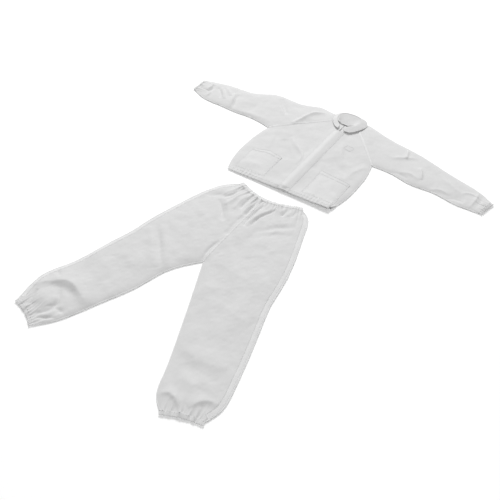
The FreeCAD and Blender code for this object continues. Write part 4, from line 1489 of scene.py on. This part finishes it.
@dataclass
class Pockets:
    """Two patch pockets and the blank chest patch."""

    jacket: Jacket
    width: float = 0.155
    height: float = 0.155
    hem: float = 0.016
    bottom: float = 0.272
    corners: tuple[tuple[Side, float], ...] = ((Side.LEFT, 0.107), (Side.RIGHT, -0.248))
    puff: float = 0.0042
    patch_middle: Point = (0.132, 0.658)
    patch_size: Point = (0.038, 0.032)
    patch_turn: float = -10.0

    def over(self, x: Array, y: Array, corner: float) -> Array:
        """Upper face of a pocket: the front's height, plus a puff that ends at three sides but not on top.

        The puff is (1 - |2u - 1|^4) times the root-like rise 1 - exp(-v / 0.25) along the height.
        """
        u = np.clip((x - corner) / self.width, 0, 1)
        v = np.clip((y - self.bottom) / self.height, 0, 1)
        lift = self.puff * (1 - np.abs(2 * u - 1) ** 4) * (1 - np.exp(-v / 0.25))
        lift = lift * (1 + 0.35 * smooth_noise(x, y, 0.035, 51))
        return self.jacket.relief.front(x, y)[0] + 0.0004 + 0.0007 * v + lift

    def pocket(self, side: Side, corner: float) -> None:
        """Bag, hem band and stitching of one pocket."""
        word = side.value
        crumple = 0.0030 if side is Side.RIGHT else 0.0012
        x = np.linspace(corner, corner + self.width, 60)
        y = np.linspace(self.bottom, self.bottom + self.height, 60)
        plan = np.stack(np.meshgrid(x, y), axis=-1)
        top_edge = np.clip((plan[..., 1] - self.bottom) / self.height, 0, 1) ** 2
        u = np.clip((plan[..., 0] - corner) / self.width, 0, 1)
        rise = 0.016 * (1 - u) ** 1.5 if side is Side.LEFT else 0.014 * np.exp(-(((u - 0.5) / 0.2) ** 2))
        plan[..., 1] += (rise + crumple * smooth_noise(plan[..., 0], 0 * u, 0.03, 61 + side.sign)) * top_edge
        z = self.over(plan[..., 0], plan[..., 1], corner)
        piece = sheet_piece(f"{word}_pocket_cloth", plan, z, 0.0009, FINISHES.doubled)
        settle(piece, Carried("jacket"), "doubled_cloth", f"{word}_pocket")
        band = plan[y > self.bottom + self.height - self.hem]
        z = self.over(band[..., 0], band[..., 1], corner) + 0.0008
        piece = sheet_piece(f"{word}_pocket_hem_band", band, z, 0.0011, FINISHES.doubled)
        settle(piece, Carried("jacket"), "doubled_cloth", f"{word}_pocket_hem")
        lines = {}
        for k, inset in enumerate((0.0020, 0.0075)):
            low, high = self.bottom + inset, self.bottom + self.height - 0.002
            left, right = corner + inset, corner + self.width - inset
            turns = [(left, high), (left, low), (right, low), (right, high)]
            runs = [spline(ends) for ends in zip(turns, turns[1:])]
            lines[f"{word}_pocket_row_{k}"] = np.concatenate([runs[0], runs[1][1:], runs[2][1:]])
        level = self.bottom + self.height - self.hem + 0.002
        ends = [(corner + 0.004, level), (corner + self.width - 0.004, level)]
        lines[f"{word}_pocket_hem_row"] = spline(ends)
        rows = []
        for name, line in lines.items():
            height = self.over(line[:, 0], line[:, 1], corner) + 0.0010
            rows.append(stitch_row(name, np.column_stack([line, height])))
        settle(join(f"{word}_pocket_stitching", rows), Carried("jacket"), "seam_cloth")

    def patch(self) -> None:
        """Blank chest patch, a little turned, with a row of stitches round it."""
        turn = math.radians(self.patch_turn)
        spin = np.array([[math.cos(turn), -math.sin(turn)], [math.sin(turn), math.cos(turn)]])
        wide, tall = self.patch_size
        across, along = np.linspace(-wide / 2, wide / 2, 16), np.linspace(-tall / 2, tall / 2, 14)
        local = np.stack(np.meshgrid(across, along), axis=-1)
        plan = local @ spin.T + np.array(self.patch_middle)
        z, _ = self.jacket.relief.front(plan[..., 0], plan[..., 1])
        piece = sheet_piece("chest_patch_cloth", plan, z + 0.0006, 0.0008, FINISHES.single)
        settle(piece, Carried("jacket"), "doubled_cloth", "chest_patch")
        corners = np.array([(-1, -1), (1, -1), (1, 1), (-1, 1), (-1, -1)])
        corners = corners * (np.array(self.patch_size) / 2 - 0.002)
        line = at(corners @ spin.T + np.array(self.patch_middle), np.linspace(0, 1, 60))
        row = stitch_row("chest_patch_stitching", self.jacket.on_front(line, 0.0009))
        settle(row, Carried("jacket"), "seam_cloth")

    def build(self) -> None:
        """Builds both pockets and the patch."""
        for side, corner in self.corners:
            self.pocket(side, corner)
        self.patch()


@dataclass
class Trousers(Garment):
    """Trousers with a gathered waist and ankles."""

    relief: Relief | None = None
    middle: float = -0.005
    waist: tuple[Point, ...] = ((0.164, 0.195), (-0.005, 0.154), (-0.149, 0.195))
    waist_band: Band = Band(0.022, 0.0014, 0.0090, (0.0030, 0.0190), 0.0009)
    ankle_band: Band = Band(0.015, 0.0012, 0.0082, (0.0025, 0.0125), 0.0008)
    ankle_bows: dict[Side, float] = field(default_factory=lambda: {Side.LEFT: -0.006, Side.RIGHT: -0.010})
    crotch_y: float = -0.293
    fold_y: float = -0.306
    waist_y: float = 0.195
    rise: float = 0.501
    hips: dict[Side, tuple[Point, ...]] = field(default_factory=lambda: {
        Side.LEFT: ((0.07, 0.205), (0.24, 0.250), (0.56, 0.300), (0.89, 0.335)),
        Side.RIGHT: ((0.07, 0.179), (0.24, 0.245), (0.53, 0.297), (0.89, 0.344)),
    })
    legs: dict[Side, Limb] = field(default_factory=lambda: {
        Side.LEFT: Limb((0.168, -0.306), -71.8, 0.596, (
            (0.1, 0.159, 0.148), (0.32, 0.149, 0.136), (0.6, 0.140, 0.123), (0.78, 0.131, 0.118),
            (0.92, 0.113, 0.110), (1.0, 0.078, 0.081)), Side.LEFT),
        Side.RIGHT: Limb((-0.184, -0.306), -111.6, 0.590, (
            (0.1, 0.163, 0.122), (0.32, 0.151, 0.130), (0.6, 0.136, 0.121), (0.78, 0.142, 0.114),
            (0.92, 0.109, 0.097), (1.0, 0.078, 0.076)), Side.RIGHT),
    })

    def waist_mouth(self) -> Mouth:
        """Opening at the waist."""
        tops = (0.0110, 0.0125, 0.0135, 0.0140, 0.0135, 0.0120, 0.0105)
        return Mouth(spline(self.waist), tops, 3.2, False, (0.0066,))

    def waist_low(self) -> Array:
        """Lower edge of the waistband, from the left side to the right."""
        return beside(spline(self.waist), self.waist_band.width)

    def outer(self, side: Side) -> Array:
        """Outseam from the waistband to the ankle."""
        low = self.waist_low()
        start = tuple(low[0] if side is Side.LEFT else low[-1])
        sign, hips = side.sign, self.hips[side]
        hip = [(self.middle + sign * half, self.waist_y - share * self.rise) for share, half in hips]
        return spline([start, *hip, *self.legs[side].edges()[0]])

    def inner(self, side: Side) -> Array:
        """Inseam from the crotch to the ankle."""
        return spline([(self.middle, self.crotch_y), *self.legs[side].edges()[1]])

    def ankle_mouth(self, side: Side) -> Mouth:
        """Opening at an ankle, bowed a little up the leg."""
        ends = np.array([self.outer(side)[-1], self.inner(side)[-1]][:: side.sign])
        step = ends[1] - ends[0]
        down = np.array([-step[1], step[0]]) / np.linalg.norm(step)
        bowed = ends.mean(axis=0) + down * self.ankle_bows[side]
        tops = (0.0080, 0.0095, 0.0100, 0.0095, 0.0085)
        return Mouth(spline([tuple(ends[0]), tuple(bowed), tuple(ends[1])]), tops, 2.8)

    def drape(self) -> None:
        """Sets how the trousers lie."""
        seams = [run(side) for side in Side for run in (self.outer, self.inner)]
        waist = self.waist_mouth()
        mouths = [Mouth(self.waist_low(), waist.tops, flatness=waist.flatness)]
        low = self.waist_low()
        gathers = [
            Gathers([tuple(p) for p in low[::8]], 0.0140, 0.0036, 0.034, 71),
            Gathers([tuple(p) for p in low[::8]], 0.0300, 0.0034, 0.080, 72),
        ]
        for k, side in enumerate(Side):
            ankle = self.ankle_mouth(side)
            mouths.append(Mouth(np.asarray(ankle.line), ankle.tops, flatness=ankle.flatness))
            run = [tuple(p) for p in np.asarray(ankle.line)[::6]]
            gathers.append(Gathers(run, 0.0125, 0.0032, 0.024 + 0.016 * k, 75 + k))
            gathers.append(Gathers(run, 0.0290, 0.0030, 0.045 + 0.030 * k, 78 + k))
        folds = [
            Fold(((0.084, 0.142), (0.067, 0.087), (0.051, 0.045), (0.044, -0.030)), -0.0036, 0.0050),
            Fold(((0.068, 0.130), (0.048, 0.070), (0.030, 0.010), (0.020, -0.040)), 0.0042, 0.012),
            Fold(((0.020, 0.110), (0.011, 0.030), (0.018, -0.045)), -0.0056, 0.0056),
            Fold(((0.040, 0.125), (0.032, 0.050), (0.034, -0.020)), 0.0026, 0.009),
            Fold(((-0.022, 0.126), (-0.016, 0.070), (-0.012, 0.010)), -0.0052, 0.0060),
            Fold(((-0.037, 0.128), (-0.034, 0.070), (-0.026, -0.020)), 0.0036, 0.008),
            Fold(((-0.054, 0.132), (-0.058, 0.090), (-0.055, 0.036)), -0.0050, 0.0062),
            Fold(((-0.073, 0.136), (-0.080, 0.085), (-0.078, 0.020)), 0.0030, 0.010),
            Fold(((-0.020, 0.000), (-0.022, -0.060), (-0.012, -0.130)), -0.0030, 0.010),
            Fold(((0.118, 0.144), (0.118, 0.090)), -0.0050, 0.0058),
            Fold(((0.104, 0.148), (0.100, 0.105)), 0.0032, 0.007),
            Fold(((0.134, 0.150), (0.138, 0.105)), 0.0032, 0.007),
            Fold(((0.151, 0.164), (0.160, 0.112)), -0.0050, 0.0058),
            Fold(((-0.133, 0.150), (-0.136, 0.100), (-0.160, 0.064)), -0.0056, 0.0075),
            Fold(((-0.150, 0.078), (-0.190, 0.062), (-0.240, 0.040)), -0.0036, 0.017, crease=2.0),
            Fold(((-0.105, 0.140), (-0.110, 0.080), (-0.125, 0.020)), 0.0036, 0.012, 0.8),
            Fold(((-0.170, 0.042), (-0.111, -0.018), (-0.072, -0.066)), -0.0042, 0.009),
            Fold(((-0.150, 0.060), (-0.090, 0.000), (-0.050, -0.056)), 0.0030, 0.012),
            Fold(((0.066, -0.060), (0.091, -0.037), (0.139, 0.019), (0.205, 0.066)), -0.0030, 0.014,
                 crease=2.0),
            Fold(((0.058, -0.110), (0.073, -0.094), (0.150, -0.019), (0.226, 0.024)), -0.0022, 0.016,
                 crease=2.0),
            Fold(((0.080, -0.060), (0.145, -0.002), (0.210, 0.040)), 0.0014, 0.018, crease=2.0),
            Fold(((-0.014, -0.170), (-0.021, -0.225), (-0.010, -0.296)), -0.0058, 0.0070),
            Fold(((-0.310, -0.255), (-0.225, -0.340), (-0.140, -0.425)), 0.0038, 0.024, 0.8, crease=2.0),
            Fold(((-0.270, -0.215), (-0.185, -0.305), (-0.100, -0.400)), 0.0034, 0.022, 0.8, crease=2.0),
            Fold(((-0.290, -0.235), (-0.205, -0.322), (-0.122, -0.412)), -0.0030, 0.014, crease=2.0),
            Fold(((-0.120, -0.160), (-0.080, -0.240), (-0.060, -0.330)), 0.0028, 0.024, crease=2.0),
            Fold(((0.020, -0.250), (0.110, -0.275), (0.230, -0.262)), 0.0026, 0.026, 1.6, crease=2.0),
            Fold(((0.120, -0.455), (0.210, -0.438), (0.330, -0.455)), 0.0026, 0.026, 1.6, crease=2.0),
            Fold(((0.160, -0.640), (0.250, -0.672), (0.370, -0.650)), 0.0038, 0.026, 1.6, crease=2.0),
            Fold(((0.240, -0.320), (0.260, -0.430), (0.300, -0.560)), 0.0022, 0.030, crease=2.0),
            Fold(((-0.330, -0.480), (-0.290, -0.560), (-0.300, -0.640)), 0.0024, 0.028, crease=2.0),
            Fold(((-0.478, -0.744), (-0.415, -0.690), (-0.360, -0.662), (-0.293, -0.678), (-0.212, -0.712)),
                 0.0080, 0.020, 2.0, -0.30),
            Fold(((-0.415, -0.722), (-0.350, -0.698), (-0.285, -0.712)), -0.0022, 0.016, crease=2.0),
            Fold(((-0.430, -0.790), (-0.384, -0.772), (-0.345, -0.790)), 0.0052, 0.034, crease=2.0),
            Fold(((-0.366, -0.712), (-0.338, -0.745), (-0.328, -0.789), (-0.343, -0.828), (-0.372, -0.848)),
                 -0.0046, 0.0085),
            Fold(((-0.358, -0.872), (-0.325, -0.843), (-0.284, -0.815)), -0.0062, 0.0070),
            Fold(((-0.322, -0.784), (-0.270, -0.784)), -0.0036, 0.010),
            Fold(((-0.455, -0.642), (-0.412, -0.664)), -0.0034, 0.010),
            Fold(((-0.431, -0.832), (-0.398, -0.815)), -0.0040, 0.0065),
            Fold(((-0.428, -0.802), (-0.440, -0.755)), -0.0040, 0.0065),
            Fold(((-0.452, -0.822), (-0.466, -0.740)), -0.0036, 0.0065),
            Fold(((0.232, -0.862), (0.262, -0.834), (0.305, -0.840), (0.336, -0.868)), 0.0056, 0.011, 1.8,
                 -0.2),
            Fold(((0.352, -0.842), (0.375, -0.802), (0.398, -0.784), (0.428, -0.786)), 0.0052, 0.011, 1.8),
            Fold(((0.250, -0.780), (0.320, -0.760), (0.400, -0.735)), 0.0026, 0.022, 1.4, crease=2.0),
        ]
        self.relief = Relief(seams, mouths, folds, gathers, 23, rim=0.0056, crown=0.0050, unrest=0.0015)

    def folding(self, side: Side) -> Carried:
        """Carrier of a leg's cloth: the trousers, naming the leg and two points across its fold line."""
        x = 0.17 if side is Side.LEFT else -0.18
        start, end = ((x, self.fold_y - down, 0.018) for down in (0.0, 0.070))
        return Carried("trousers", f"{side.value}_leg", start, end)

    def leg(self, side: Side) -> None:
        """Front and back cloth, seams, ankle band, elastic and stitching of one leg."""
        word, folding = side.value, self.folding(side)
        outer, inseam = self.outer(side), self.inner(side)
        low = self.waist_low()
        k = int(np.abs(low[:, 0] - self.middle).argmin())
        head = low[: k + 1] if side is Side.LEFT else low[k:][::-1]
        crotch = (self.middle, self.crotch_y)
        inner = np.concatenate([spline([tuple(low[k]), crotch]), inseam[1:]])
        matched = share_of(outer, (side.sign * 0.32, -0.20)), share_of(inner, crotch)
        marks = ((0.0, 0.0), matched, (1.0, 1.0))
        tail = np.asarray(self.ankle_mouth(side).line)
        tail = tail if side is Side.LEFT else tail[::-1]
        plans = tuple(ruled(outer, inner, marks, *size, head, tail) for size in ((285, 82), (130, 34)))
        self.layers(f"{word}_trouser", plans, (0.36, 1.09), folding, f"{word}_hip", f"{word}_leg")
        sign = side.sign
        strip_run = beside(outer, -sign * 0.0125)[4:-3]
        pieces = [
            self.edge_roll(f"{word}_outseam_roll", outer, -sign),
            self.edge_roll(f"{word}_inseam_roll", inseam, sign),
            self.trim(f"{word}_outseam_trim", strip_run, 0.019, 0.0006, FINISHES.seam),
        ]
        settle(join(f"{word}_trouser_felled_seams", pieces), folding, "seam_cloth", f"{word}_leg_seams")
        rows = self.twin_rows(f"{word}_outseam", strip_run, 0.0072, 0.0008)
        settle(join(f"{word}_outseam_stitching", rows), folding, "seam_cloth")
        self.edging(f"{word}_ankle", self.ankle_mouth(side), self.ankle_band, Carried(f"{word}_leg"))

    def build(self) -> None:
        """Builds and dresses the trousers."""
        self.drape()
        for side in Side:
            self.leg(side)
        rides = Carried("trousers")
        self.edging("waist", self.waist_mouth(), self.waist_band, rides, "waist_band_cloth", "waistband")
        run = spline([(self.middle, 0.131), (self.middle, self.crotch_y + 0.004)])
        seam = self.trim("centre_seam_trim", run, 0.007, 0.0009, FINISHES.seam)
        settle(seam, rides, "seam_cloth", "hip_seams")
        row = stitch_row("centre_seam_stitching", self.on_front(beside(run, 0.0022), 0.0010))
        settle(row, rides, "seam_cloth")


# ---------------------------------------------------------------- studio


@dataclass(frozen=True)
class Studio:
    """Pale floor, soft lights and the camera."""

    eye: tuple[float, float, float] = (1.16516, -1.60704, 1.83955)
    yaw: float = 0.62102
    pitch: float = 0.79336
    roll: float = -0.030925
    lens: float = 46.33344
    sensor: float = 36.0
    floor_half: float = 14.0
    floor_gap: float = 0.0004
    surroundings: float = 0.31

    def camera(self) -> None:
        """Places the camera: it looks down by its pitch, turned by its yaw, and rolled a little."""
        level = math.cos(self.pitch)
        back = Vector((math.sin(self.yaw) * level, -math.cos(self.yaw) * level, math.sin(self.pitch)))
        flat = Vector((math.cos(self.yaw), math.sin(self.yaw), 0.0))
        rise = back.cross(flat)
        right = flat * math.cos(self.roll) + rise * math.sin(self.roll)
        up = rise * math.cos(self.roll) - flat * math.sin(self.roll)
        turn = Matrix((right, up, back)).transposed().to_4x4()
        data = bpy.data.cameras.new("studio_camera")
        data.sensor_width = self.sensor
        data.lens = self.lens
        data.clip_end = 100.0
        camera = bpy.data.objects.new("studio_camera", data)
        camera.matrix_world = Matrix.Translation(self.eye) @ turn
        bpy.context.scene.collection.objects.link(camera)
        bpy.context.scene.camera = camera

    def light(self, name: str, place: tuple[float, float, float], size: float, watts: float) -> None:
        """An area light that faces the middle of the suit."""
        data = bpy.data.lights.new(name, "AREA")
        data.shape = "DISK"
        data.size = size
        data.energy = watts
        lamp = bpy.data.objects.new(name, data)
        lamp.location = place
        lamp.rotation_euler = Vector(place).to_track_quat("Z", "Y").to_euler()
        bpy.context.scene.collection.objects.link(lamp)

    def floor(self) -> None:
        """A wide pale floor."""
        mesh = bpy.data.meshes.new("floor")
        r = self.floor_half
        mesh.from_pydata([(-r, -r, 0), (r, -r, 0), (r, r, 0), (-r, r, 0)], [], [(0, 1, 2, 3)])
        material, _, shader = new_material("pale_floor")
        looks = {"Base Color": (0.94, 0.94, 0.94, 1), "Roughness": 1.0, "Specular IOR Level": 0.0,
                 "Emission Color": (1, 1, 1, 1), "Emission Strength": 0.12}
        for socket, value in looks.items():
            shader.inputs[socket].default_value = value
        mesh.materials.append(material)
        slab = bpy.data.objects.new("floor", mesh)
        slab.location.z = -self.floor_gap
        bpy.context.scene.collection.objects.link(slab)

    def build(self) -> None:
        """Sets up camera, lights, floor and surroundings."""
        scene = bpy.context.scene
        scene.view_settings.view_transform = "Standard"
        world = scene.world or bpy.data.worlds.new("studio")
        scene.world = world
        world.use_nodes = True
        sky = world.node_tree.nodes["Background"]
        sky.inputs["Color"].default_value = (1, 1, 1, 1)
        sky.inputs["Strength"].default_value = self.surroundings
        self.camera()
        self.floor()
        self.light("key_light", (-5.0, 7.0, 6.6), 4.0, 985.0)
        self.light("fill_light", (4.5, -4.0, 7.0), 6.0, 250.0)


def main() -> None:
    """Builds the suit piece by piece."""
    logging.basicConfig(level=logging.INFO, format="%(name)s %(message)s")
    Studio().build()
    jacket = Jacket()
    jacket.build()
    Closure(jacket).build()
    Pockets(jacket).build()
    Collar(jacket).build()
    Trousers().build()


if __name__ == "__main__":
    main()
